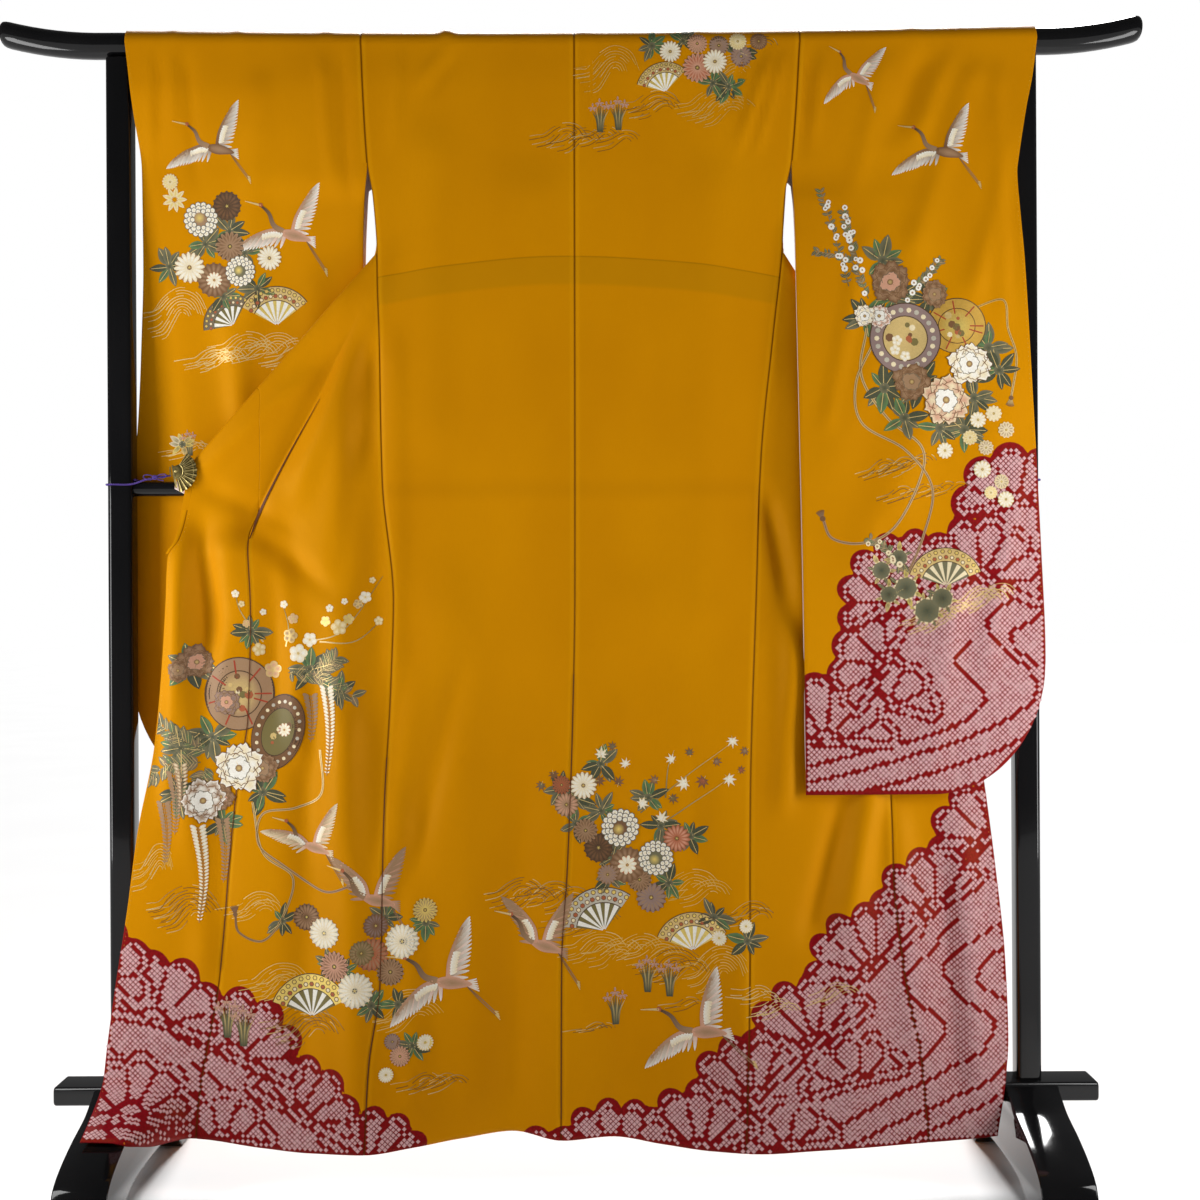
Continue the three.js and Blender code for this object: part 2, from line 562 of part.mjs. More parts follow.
function sleeveGrid(sleeve) {
  const { side } = sleeve;
  const columns = [0, 0.12, 0.25, 0.38, 0.5, 0.62, 0.72, 0.8, 0.87, 0.93, 0.97, 1];
  const read = (name) => column(sleeve.depth, 'z', name);
  const [inner, outer, gapInner, gapOuter] = ['inner', 'outer', 'gapInner', 'gapOuter'].map(read);
  const bottomAt = (x) => {
    const edge = Math.abs(sleeve.outer(sleeve.bottom)) - Math.abs(x);
    const share = clamp01(1 - edge / sleeve.corner.x);
    return sleeve.bottom + sleeve.corner.z * (1 - Math.sqrt(1 - share ** 2));
  };
  const pointAt = (u, z, hidden) => {
    const outerAt = hidden && sleeve.hiddenOuter ? sleeve.hiddenOuter : sleeve.outer;
    let innerX = z >= armholeEnd ? side.sideSeam(z) : sleeve.inner(z);
    if (hidden && z > armholeEnd - 30) innerX = hiddenSeam(side, z).x;
    const x = lerp(innerX + side.sign * seam / 2, outerAt(z), u);
    let y = lerp(inner(z), outer(z), u);
    const tie = (1 - u) ** 3 * smooth((z - armholeEnd + 60) / 55);
    if (!hidden) y = lerp(y, hangDepth(innerX, z), tie);
    const gap = lerp(gapInner(z), gapOuter(z), u * u);
    if (hidden) y += lerp(sewn, gap, z > 900 ? 1 : smooth((z - bottomAt(x)) / 90));
    if (hidden) y = lerp(y, hiddenSeam(side, z).y, tie);
    const folded = foldDepth(sleeve.folds, x, z) * smooth((armholeEnd - z) / 200) * (1 - u ** 6);
    return new Vector3(x, y + folded, z);
  };
  const shoulderRow = (angle) => columns.map((u) => {
    const front = sleeve.outer(rail.height);
    const back = (sleeve.hiddenOuter || sleeve.outer)(rail.height);
    const edge = lerp(front, back, angle / 180);
    return onRail(lerp(side.sideSeam(rail.height) + side.sign * seam / 2, edge, u), angle);
  });
  const levelRow = (z, hidden) => columns.map((u) => pointAt(u, z, hidden));
  const footRow = (step, hidden) => columns.map((u) => {
    const high = sleeve.bottom + sleeve.corner.z + 25;
    const x = lerp(sleeve.inner(sleeve.bottom), sleeve.outer(sleeve.bottom), u);
    return pointAt(u, lerp(bottomAt(x), high, step), hidden);
  });
  const freeLevels = [1450, 1383, 1290, 1190, 1090, 990, 890];
  const footSteps = [0, 0.12, 0.4, 0.7, 1];
  const hiddenLevels = swagSteps.map((t) => swagPoint(side, 0, t).z).filter((z) => z > armholeEnd - 30);
  const front = [
    ...footSteps.map((step) => footRow(step, false)),
    ...[...freeLevels].reverse().map((z) => levelRow(z, false)),
    ...[armholeEnd, 1580, 1640].map((z) => levelRow(z, false)),
  ];
  const over = [...railAngles, ...[...railAngles].reverse().slice(1).map((angle) => 180 - angle)];
  const hidden = [
    ...hiddenLevels.slice(1).map((z) => levelRow(z, true)),
    ...freeLevels.map((z) => levelRow(z, true)).slice(1),
    ...[...footSteps].reverse().map((step) => footRow(step, true)),
  ];
  return [...front, ...over.map(shoulderRow), ...hidden];
}

function hiddenSeam(side, z) {          // the front's side edge behind the rail, at one height
  const top = swagPoint(side, 0, 0).z;
  const share = clamp01((top - z) / (top - openEnd));
  return swagPoint(side, 0, 1 - Math.sqrt(1 - share));
}

// ---- the stand ----
function roundedSquare(width, depth, corner, place) {
  const ring = [];
  const arc = 3;
  for (let k = 0; k < 4; k++) {
    const cx = (k === 0 || k === 3 ? 1 : -1) * (width / 2 - corner);
    const cy = (k < 2 ? 1 : -1) * (depth / 2 - corner);
    for (let i = 0; i <= arc; i++) {
      const turn = (k + i / arc) * Math.PI / 2;
      ring.push(place(cx + corner * Math.cos(turn), cy + corner * Math.sin(turn)));
    }
  }
  return ring;
}

function roundRing(radius, sides, place) {
  return Array.from({ length: sides }, (_, i) => {
    const turn = 2 * Math.PI * i / sides;
    return place(radius * Math.cos(turn), radius * Math.sin(turn));
  });
}

function addStand() {
  const rings = [];
  const stations = 30;
  const tips = [{ in: 0, size: 0.45 }, { in: 3, size: 0.78 }, { in: 9, size: 0.97 }];
  const ringAt = (x, size) => {
    return roundRing(rail.radius * size, roundSides, (a, b) => new Vector3(x, a, railHeight(x) + b));
  };
  for (const tip of tips) rings.push(ringAt(-rail.length / 2 + tip.in, tip.size));
  for (let i = 1; i < stations; i++) {
    rings.push(ringAt(lerp(-rail.length / 2, rail.length / 2, i / stations), 1));
  }
  for (const tip of [...tips].reverse()) rings.push(ringAt(rail.length / 2 - tip.in, tip.size));
  addLoft('top_rail', rings, lacquer());

  const half = post.reach - post.size / 2 - joint;
  addLoft('mid_rail', [-half, half].map((x) => {
    return roundRing(bridge.radius, roundSides, (a, b) => new Vector3(x, a, bridge.height + b));
  }), lacquer());

  addLoft('base_plate', [-plate.length / 2, plate.length / 2].map((x) => {
    const middle = plate.top - plate.thickness / 2;
    return roundedSquare(plate.depth, plate.thickness, plate.corner, (a, b) => new Vector3(x, a, middle + b));
  }), lacquer());

  for (const [name, sign] of [['left', -1], ['right', 1]]) {
    const top = railHeight(post.reach - post.size / 2) - rail.radius - joint;
    addLoft(`post_${name}`, [plate.top + joint, top].map((z) => {
      const place = (a, b) => new Vector3(sign * post.reach + a, b, z);
      return roundedSquare(post.size, post.size, post.corner, place);
    }), lacquer());
    addFoot(`foot_${name}`, sign * foot.reach);
  }
}

// An arched foot: its outline from front to back, cut through its width.
function addFoot(name, centre) {
  const slot = plate.depth / 2 + joint;
  const outline = new THREE.Shape();
  outline.moveTo(-slot, foot.seat);
  outline.lineTo(-slot, foot.shoulder);
  const crest = [[-60, 138], [-87, 126], [-151, 109], [-212, 87], [-238, 71], [-247, 57.5]];
  outline.splineThru(crest.map(([y, z]) => new THREE.Vector2(y, z)));
  outline.lineTo(-foot.half, 50);
  outline.lineTo(-foot.half, 0);
  outline.lineTo(-190, 0);
  const arch = [[-172, 13], [-151, 25], [-109, 38], [-55, 43]];
  const farArch = [...arch].reverse().map(([y, z]) => [-y, z]);
  outline.splineThru([...arch, [0, 44], ...farArch, [190, 0]].map(([y, z]) => new THREE.Vector2(y, z)));
  outline.lineTo(foot.half, 0);
  outline.lineTo(foot.half, 50);
  outline.lineTo(247, 57.5);
  outline.splineThru([...crest].reverse().slice(1).map(([y, z]) => new THREE.Vector2(-y, z))
    .concat(new THREE.Vector2(slot, foot.shoulder)));
  outline.lineTo(slot, foot.seat);
  const cut = { depth: foot.width, bevelEnabled: false, curveSegments: 3 };
  const geometry = new THREE.ExtrudeGeometry(outline, cut);
  const mesh = new THREE.Mesh(geometry, lacquer());
  mesh.name = name;
  mesh.rotation.set(Math.PI / 2, Math.PI / 2, 0);
  mesh.position.set(centre - foot.width / 2, 0, 0);
  group.add(mesh);
}

// ---- clips and the cords that tie them to the posts ----
function addClip(name, side) {
  const { sign, turnEnd } = side;
  const pivot = new Vector3(turnEnd.x + sign * clip.out, 0, turnEnd.z - clip.down);
  const under = [0, 10, 20, 30, 38].flatMap((dx) => [-38, -20, 0, 15, 32].map((dz) => {
    return hangDepth(pivot.x - sign * dx, pivot.z + dz);
  }));
  const front = Math.min(...under) - wall / 2 - 3 * joint;
  const outline = new THREE.Shape();
  const open = THREE.MathUtils.degToRad(clip.open);
  const lean = THREE.MathUtils.degToRad(clip.lean);
  const steps = clip.ribs * 2;
  outline.moveTo(0, 0);
  for (let i = 0; i <= steps; i++) {
    const turn = lean + open * i / steps;
    const radius = clip.radius - (i % 2 ? 0 : 2);
    outline.lineTo(radius * Math.cos(turn), radius * Math.sin(turn));
  }
  outline.lineTo(-4, 6);
  outline.lineTo(-6, 0);
  const geometry = new THREE.ExtrudeGeometry(outline, { depth: clip.thickness, bevelEnabled: false });
  geometry.rotateX(Math.PI / 2);
  if (sign > 0) {
    geometry.scale(-1, 1, 1);
    const index = geometry.attributes.position;
    for (let i = 0; i < index.count; i += 3) {
      const keep = new Vector3().fromBufferAttribute(index, i);
      index.setXYZ(i, index.getX(i + 1), index.getY(i + 1), index.getZ(i + 1));
      index.setXYZ(i + 1, keep.x, keep.y, keep.z);
    }
  }
  const mesh = new THREE.Mesh(geometry, bronze());
  mesh.name = name;
  mesh.position.set(pivot.x, front, pivot.z);
  group.add(mesh);
}

function addCord(name, side) {
  const { sign, turnEnd } = side;
  const half = post.size / 2 + cord.radius + 2 * joint;
  const flat = post.size / 2 - post.corner;
  const bend = flat + (half - flat) * Math.SQRT1_2;
  const overBridge = bridge.height + bridge.radius + cord.radius + 2 * joint;
  const px = sign * post.reach;
  const start = new Vector3(turnEnd.x + sign * 24, hangDepth(turnEnd.x, turnEnd.z) - 3, turnEnd.z - 12);
  const at = (x, y, z) => new Vector3(px + sign * x, y, z);
  const route = [
    start,
    new Vector3(lerp(start.x, px, 0.45), -26, cord.height + 7),
    at(-bend, -half, cord.height), at(flat, -half, cord.height),
    at(bend, -bend, cord.height), at(half, -flat, cord.height),
    at(half, flat, cord.height + 1), at(bend, bend, cord.height + 2), at(flat, half, cord.height + 3),
    at(-flat, half, overBridge), at(-bend, bend, overBridge), at(-half, flat, overBridge),
    at(-half, -flat, overBridge),
  ];
  const path = new THREE.CatmullRomCurve3(route, false, 'centripetal');
  const ring = new THREE.Shape(roundRing(cord.radius, cord.sides, (a, b) => new THREE.Vector2(a, b)));
  const sweep = { extrudePath: path, steps: cord.steps, bevelEnabled: false };
  const geometry = new THREE.ExtrudeGeometry(ring, sweep);
  const mesh = new THREE.Mesh(geometry, braid());
  mesh.name = name;
  group.add(mesh);
}

// ---- everything in its place ----
addStand();
for (const [name, side] of Object.entries(sides)) {
  addCloth(`back_${name}`, backPanel(side), silk());
  addCloth(`front_${name}`, frontGrid(side, 'front'), silk());
  addCloth(`okumi_${name}`, frontGrid(side, 'okumi'), silk());
  addCloth(`sleeve_${name}`, sleeveGrid(sleeves[name]), silk());
  addClip(`fan_clip_${name}`, side);
  addCord(`tie_cord_${name}`, side);
}
addCloth('collar', collarGrid(), silk());

export default group;
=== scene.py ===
import math

import bmesh
import bpy
import numpy as np
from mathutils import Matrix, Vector


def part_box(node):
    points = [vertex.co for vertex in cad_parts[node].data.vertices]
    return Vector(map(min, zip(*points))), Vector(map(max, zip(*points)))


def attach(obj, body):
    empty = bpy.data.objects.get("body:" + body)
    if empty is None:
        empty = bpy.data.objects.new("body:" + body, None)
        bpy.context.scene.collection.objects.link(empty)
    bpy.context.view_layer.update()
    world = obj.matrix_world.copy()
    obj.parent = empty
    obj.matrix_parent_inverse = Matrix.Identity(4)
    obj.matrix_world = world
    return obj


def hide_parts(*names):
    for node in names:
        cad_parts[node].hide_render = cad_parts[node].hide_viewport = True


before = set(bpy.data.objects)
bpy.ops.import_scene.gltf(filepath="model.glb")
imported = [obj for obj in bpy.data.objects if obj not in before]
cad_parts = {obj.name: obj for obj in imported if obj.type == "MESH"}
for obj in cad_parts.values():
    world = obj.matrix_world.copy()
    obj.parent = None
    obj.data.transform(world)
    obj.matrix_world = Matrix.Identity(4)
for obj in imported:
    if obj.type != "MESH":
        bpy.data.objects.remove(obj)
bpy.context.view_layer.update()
mm = 0.001


# small helpers

def lerp(a, b, t):
    return a + (b - a) * t


def smooth(t):
    t = np.clip(t, 0, 1)
    return t * t * (3 - 2 * t)


def column(*rows):  # a smooth curve through (place, value) pairs
    rows = sorted(rows)
    xs = np.array([row[0] for row in rows], float)
    ys = np.array([row[1] for row in rows], float)
    slope = np.diff(ys) / np.diff(xs)
    tangent = np.zeros(len(xs))
    tangent[0], tangent[-1] = slope[0], slope[-1]
    for i in range(1, len(xs) - 1):
        a, b = slope[i - 1], slope[i]
        tangent[i] = 0 if a * b <= 0 else 2 / (1 / a + 1 / b)

    def read(x):
        x = np.clip(x, xs[0], xs[-1])
        i = np.clip(np.searchsorted(xs, x, side="right") - 1, 0, len(xs) - 2)
        h = xs[i + 1] - xs[i]
        t = (x - xs[i]) / h
        near = (1 + 2 * t) * (1 - t) ** 2 * ys[i] + t ** 2 * (3 - 2 * t) * ys[i + 1]
        return near + h * t * (1 - t) * ((1 - t) * tangent[i] - t * tangent[i + 1])
    return read


def points(x, y, z):
    x, y, z = np.broadcast_arrays(x, y, z)
    return np.stack([x, y, z], axis=-1).astype(float)


# sizes, in millimetres

stand = {
    "railLength": 1700, "railRadius": 19.5, "railHeight": 1698.5, "railSag": 6, "railRise": 20.5,
    "postSize": 37, "postReach": 672, "postCorner": 7,
    "bridgeHeight": 1038, "bridgeRadius": 11,
    "plateLength": 1541, "plateDepth": 68, "plateTop": 155, "plateThickness": 28,
    "footWidth": 77, "footReach": 671, "footSeat": 126.7, "footShoulder": 150, "footHalf": 250,
}
cloth = {
    "wall": 2, "wrap": 21.3, "openEnd": 1383, "armholeEnd": 1515, "sewn": 2.4,
    "collarWidth": 50, "okumiTop": 0.3, "okumiShare": 0.37, "okumiPoint": 0.008,
    "rollRadius": 7, "swagBelly": 130, "hemLine": 90,
    "step": 6.5,            # size of the cloth's mesh
    "seamDip": 0.9,         # how deep a seam lies
    "lostSeam": (-330, 1010),   # left of this and above it a seam is hidden in the deep fold
    "largeFolds": 1.6, "smallFolds": 2.3,
    "fallFrom": 1000,       # below this height the cloth hangs away from the stand
    # where the left corner slides over the foot
    "footTop": 175, "footLow": 113, "footOut": 103, "footEdge": -560,
    "clipDent": 6, "bodyRipple": 0.55, "sleeveRipple": 0.8,
    # small folds over the rail: x, half width, height
    "bumps": [(-184, 9, 5.5), (-362, 9, 1.5), (-493, 9, 1.5), (-590, 9, 1.3), (20, 8, 1.1), (190, 12, 1.2),
              (506, 10, 1.4)],
}

centreSeam = column((1698, 5), (884, 2), (700, -2), (476, -11), (336, -20), (78, -22))

sides = {
    "left": {
        "sign": -1, "neck": -87,
        "sideSeam": column((1698, -311), (1515, -301.5), (1468, -294), (1383, -288), (1046, -281.5),
                           (869, -265), (728, -270), (577, -278), (308, -284), (197, -299), (60, -306)),
        "okumiSeam": column((1180, -460), (1009, -466), (965, -479), (853, -475), (700, -479), (599, -495),
                            (477, -508), (333, -519), (143, -551), (70, -557)),
        "frontEdge": column((1068, -557), (1000, -570), (960, -579), (935, -594), (869, -597), (663, -615),
                            (532, -640), (417, -655), (305, -672), (195, -686), (110, -693)),
        "turnEnd": (-569, 1068), "reach": 460, "hiddenDepth": -17,
        "dropStart": (0.25, 0.1), "dropEnd": (1, 0.8),
    },
    "right": {
        "sign": 1, "neck": 95,
        "sideSeam": column((1698, 339), (1515, 325.5), (1468, 316), (1383, 311), (1268, 298), (1076, 278),
                           (884, 270), (588, 258), (331, 254), (60, 246)),
        "okumiSeam": column((1176, 436), (1000, 451), (800, 462), (464, 466), (365, 475), (280, 487),
                            (198, 504), (70, 515)),
        "frontEdge": column((1060, 508), (1000, 522), (955, 532), (930, 552), (800, 576), (598, 603),
                            (475, 618), (335, 631), (225, 634), (170, 630), (80, 616)),
        "turnEnd": (519, 1060), "reach": 430, "hiddenDepth": -15,
        "dropStart": (0, 0), "dropEnd": (0.8, 0.8),
    },
}

hemRows = [
    (-720, 114, -62), (-648, 113, -62), (-623, 104, -62), (-599, 92, -60), (-531, 82, -52), (-457, 73, -60),
    (-381, 69, -75), (-308, 69, -85), (-237, 75, -70), (-166, 83, -50), (-93, 91, -42), (-19, 78, -50),
    (54, 83, -46), (126, 76, -62), (198, 70, -78), (270, 68, -86), (343, 70, -80), (416, 72, -72),
    (491, 75, -62), (565, 78, -54), (640, 84, -50),
]
hemHeight = column(*[(x, z) for x, z, _ in hemRows])
hemDepth = column(*[(x, y) for x, _, y in hemRows])
upperDepth = column((-700, -35), (-350, -35), (-288, -24), (0, -23), (300, -24), (345, -25))

# Folds lie along lines: x0, z0, x1, z1, half width, height out of the cloth (a trough is below 0).
mainFolds = [
    (-274, 1362, -405, 1030, 20, 5.5), (-504, 1010, -508, 890, 22, 4), (-420, 1010, -440, 700, 30, -7),
    (-330, 1150, -350, 500, 34, 8), (-590, 960, -560, 500, 24, 7), (-540, 900, -530, 400, 26, -6),
    (-190, 900, -150, 120, 45, 6), (110, 800, 120, 120, 50, -5), (330, 1200, 335, 700, 30, 5),
    (420, 640, 400, 150, 30, 7), (560, 560, 590, 150, 26, 6), (-165, 770, -262, 400, 21, -6),
    (-232, 740, -288, 430, 17, 3),
]

creases = [  # smaller ones, in the same terms
    (-549, 985, -532, 790, 17, -4), (-302, 1250, -310, 1080, 19, -3.6), (-316, 1130, -345, 880, 21, -3.4),
    (-470, 975, -360, 885, 18, -3), (-545, 1066, -400, 1195, 17, 2.6), (-548, 1040, -430, 985, 17, -2.2),
    (-575, 960, -600, 560, 12, 2.2), (-520, 820, -545, 320, 22, 3.5), (-430, 940, -400, 640, 20, 4),
    (-385, 760, -400, 160, 28, -4), (-330, 700, -318, 130, 24, 4), (-262, 1250, -262, 760, 17, 2.2),
    (-205, 1560, -212, 1100, 34, 2.2), (-60, 1500, -46, 760, 60, 2.2), (110, 1640, 96, 900, 50, -2.0),
    (205, 1500, 190, 820, 30, 1.8), (306, 1704, 250, 1543, 7.5, 2.6), (322, 1700, 277, 1540, 7, 2.2),
    (-184, 1702, -222, 1636, 8, 1.9), (-160, 1700, -196, 1630, 8, -1.6), (24, 1699, 34, 1560, 9, -1.5),
    (262, 1699, 236, 1610, 8, -1.6),
    (150, 1699, 140, 1640, 10, 1.2), (-250, 1699, -262, 1560, 9, 1.5), (60, 700, 40, 130, 26, 3.2),
    (175, 640, 190, 120, 24, -3.4), (-70, 620, -95, 130, 28, -3.2), (-250, 560, -235, 130, 20, 3),
    (285, 1020, 334, 810, 16, -5), (330, 900, 305, 560, 18, 4.5), (408, 610, 340, 372, 20, -5.5),
    (452, 640, 396, 400, 16, 3),
    (470, 560, 500, 200, 22, 4), (540, 480, 560, 130, 20, -3.4), (230, 420, 262, 110, 20, 3.2),
]
pleat = {  # the deep diagonal fold of the drawn-out front: its line, depth, and how wide each side opens
    "line": column((950, -482.5), (965, -482), (1009, -465), (1194, -364), (1356, -293), (1380, -288)),
    "deep": 17, "leftWide": 62, "rightWide": 20, "bottom": 940, "top": 1330,
}


def pleatDepth(x, z):
    across = (x - pleat["line"](z)) * 0.87
    groove = np.exp(np.minimum(across / pleat["leftWide"], -across / pleat["rightWide"]))
    near = smooth((z - pleat["bottom"]) / 50) * smooth((pleat["top"] - z) / 120)
    return near * pleat["deep"] * groove


def rippleDepth(x, z):  # the slight unevenness of hanging silk
    wander = np.sin(z / 187 + 0.6) + 0.6 * np.sin(z / 83 + x / 210)
    return cloth["bodyRipple"] * np.sin(x / 31 + 1.4 * wander) * (0.6 + 0.4 * np.sin(z / 260 + x / 90))


def foldDepth(folds, x, z, fade=120):  # the listed folds together, out of the cloth
    out = np.zeros(np.broadcast(x, z).shape)
    for x0, z0, x1, z1, wide, height in folds:
        dx, dz = x1 - x0, z1 - z0
        length = math.hypot(dx, dz)
        along = ((x - x0) * dx + (z - z0) * dz) / length
        across = ((x - x0) * dz - (z - z0) * dx) / length
        ends = smooth(along / fade + 0.5) * smooth((length - along) / fade + 0.5)
        out = out + height * ends * np.exp(-((across / wide) ** 2))
    return -out


def hangDepth(x, z):  # how far forward (below 0) the body's cloth hangs
    hem = hemHeight(x)
    fall = np.clip((cloth["fallFrom"] - z) / (cloth["fallFrom"] - hem), 0, 1) ** 1.25
    slide = np.clip((cloth["footTop"] - z) / (cloth["footTop"] - cloth["footLow"]), 0, 1) ** 1.5
    overFoot = smooth((cloth["footEdge"] - x) / 80) * slide
    away = np.hypot(x + 569, z - 1060) / 100   # from the left clip
    y = lerp(upperDepth(x), hemDepth(x), fall)
    y = y - cloth["footOut"] * overFoot + cloth["clipDent"] * smooth(1.2 - away)
    below = stand["railHeight"] - z
    y = lerp(-cloth["wrap"], y, smooth(below / 70))
    small = cloth["smallFolds"] * foldDepth(creases, x, z, 80) + rippleDepth(x, z) + pleatDepth(x, z)
    large = cloth["largeFolds"] * foldDepth(mainFolds, x, z) * smooth(below / 100)
    return y + large + small * smooth(below / 60)


def railHeight(x):
    dip = stand["railSag"] * np.maximum(0, 1 - (x / stand["postReach"]) ** 2)
    past = np.maximum(0, np.abs(x) - 700) / (stand["railLength"] / 2 - 700)
    return stand["railHeight"] - dip + stand["railRise"] * past ** 2


def onRail(x, angle, radius=None):  # angle 0 is the front of the rail, 90 its top
    radius = cloth["wrap"] if radius is None else radius
    turn = np.radians(angle)
    bumps = sum(high * np.exp(-(((x - at) / wide) ** 2)) for at, wide, high in cloth["bumps"])
    radius = radius + bumps * np.sin(turn) ** 2
    return points(x, -radius * np.cos(turn), railHeight(x) + radius * np.sin(turn))


def hangHeight(x, step):
    return lerp(cloth["openEnd"], hemHeight(x), step)


def shares(width, fine=1.0):  # places across a piece, closer together at its seams
    edge = (1.5, 3.5)
    inner = np.linspace(edge[-1] + 3, width - edge[-1] - 3, max(3, round(width / cloth["step"] * fine)))
    return np.concatenate([[0], edge, inner, [width - e for e in edge[::-1]], [width]]) / width


def rows(start, end, length):  # even places along a piece, both ends taken in
    return np.linspace(start, end, max(2, round(length / cloth["step"])) + 1)


# the cloth's surfaces

def backPanel(side):
    share = shares(290)
    grid = []

    def edges(z):
        return centreSeam(z), side["sideSeam"](z)
    for step in rows(1, 0, 1310)[:-1]:
        z = hangHeight(lerp(*edges(cloth["hemLine"]), share), step)
        x = lerp(*edges(z), share)
        grid.append(points(x, hangDepth(x, z), z))
    for z in rows(cloth["openEnd"], stand["railHeight"], 315)[:-1]:
        x = lerp(*edges(z), share)
        grid.append(points(x, hangDepth(x, z), z))
    for angle in np.linspace(0, 90, 8):
        grid.append(onRail(lerp(*edges(stand["railHeight"]), share), angle))
    return np.array(grid)


def turnPoint(side, u):  # on the turned edge, from the side seam (0) to the clip (1)
    x, z = side["turnEnd"]
    return points(lerp(side["sideSeam"](cloth["openEnd"]), x, u), 0, lerp(cloth["openEnd"], z, u))


def turnAlong(side):
    along = turnPoint(side, 1) - turnPoint(side, 0)
    return along / np.linalg.norm(along)


def turnAcross(side):
    along = turnAlong(side)
    return np.array([side["sign"] * along[2], 0, -side["sign"] * along[0]])


def swagPoint(side, u, t):  # u 0..1 from side to neck, t 0..1 from rail to turned edge
    u, t = np.broadcast_arrays(np.asarray(u, float), np.asarray(t, float))
    x = lerp(side["sideSeam"](stand["railHeight"]), side["neck"], u)
    start = points(x, 0, railHeight(x))
    end = turnPoint(side, u)
    across = turnAcross(side)
    arriving = np.array([0, 0, -1]) + across * 2 * across[2]
    reach = side["reach"] * u + cloth["swagBelly"] * u * (1 - u)
    middle = end - arriving * reach[..., None]
    t3 = t[..., None]
    place = start * (1 - t3) ** 2 + middle * 2 * t3 * (1 - t3) + end * t3 ** 2
    begin = lerp(*side["dropStart"], u)
    stop = lerp(*side["dropEnd"], u)
    place[..., 1] = lerp(cloth["wrap"], side["hiddenDepth"], smooth((t - begin) / (stop - begin)))
    return place


def rollAt(u):
    return cloth["rollRadius"] * smooth(u / 0.2)


def turnRoll(side, u, share):
    edge = turnPoint(side, u)
    front = hangDepth(edge[..., 0], edge[..., 2])
    bulge = rollAt(u) * (1 - np.sin(np.pi * share))
    place = edge + turnAcross(side) * np.asarray(bulge)[..., None]
    place[..., 1] = lerp(side["hiddenDepth"], front, (1 - np.cos(np.pi * share)) / 2)
    return place


def okumiAt(t):
    return 1 - lerp(cloth["okumiPoint"], cloth["okumiShare"],
                    np.clip((t - cloth["okumiTop"]) / (1 - cloth["okumiTop"]), 0, 1))


def pagePoint(side, piece, share, step):
    seamShare = 1 - cloth["okumiShare"]
    share = np.asarray(share, float)
    u = share * seamShare if piece == "front" else lerp(seamShare, 1, share)
    top = turnPoint(side, u) + turnAcross(side) * np.asarray(rollAt(u))[..., None]
    start = side["sideSeam"] if piece == "front" else side["okumiSeam"]
    stop = side["okumiSeam"] if piece == "front" else side["frontEdge"]
    topZ = top[..., 2]
    topShare = np.clip((top[..., 0] - start(topZ)) / (stop(topZ) - start(topZ)), 0, 1)
    inSide = lerp(topShare, share, min(1, step * 1.6))
    line = cloth["hemLine"]
    z = lerp(topZ, hemHeight(lerp(start(line), stop(line), share)), step)
    z = np.where(u == 0, hangHeight(start(line), step), z)
    x = lerp(start(z), stop(z), inSide)
    return points(x, hangDepth(x, z), z)


def frontGrid(side, piece):
    deepFold = piece == "front" and side["sign"] < 0
    share = shares(258 if piece == "front" else 150, 1.9 if deepFold else 1.0)
    grid = []

    def across(edge):
        return share * edge if piece == "front" else lerp(edge, 1, share)
    if piece == "front":
        for angle in np.linspace(90, 180, 8)[:-1]:
            x = lerp(side["sideSeam"](stand["railHeight"]), side["neck"], across(okumiAt(0)))
            grid.append(onRail(x, angle))
    first = 0 if piece == "front" else cloth["okumiTop"]
    for t in rows(first, 1, 620 * (1 - first))[:-1]:
        grid.append(swagPoint(side, across(okumiAt(t)), t))
    for turn in np.linspace(0.1, 0.9, 7):
        grid.append(turnRoll(side, across(okumiAt(1)), turn))
    steps = rows(0.012, 1, 1150)
    if deepFold:  # closer rows where the deep fold crosses
        steps = np.concatenate([rows(0.012, 0.45, 1130)[:-1], rows(0.45, 1, 620)])
    for step in steps:
        grid.append(pagePoint(side, piece, share, step))
    return np.array(grid)


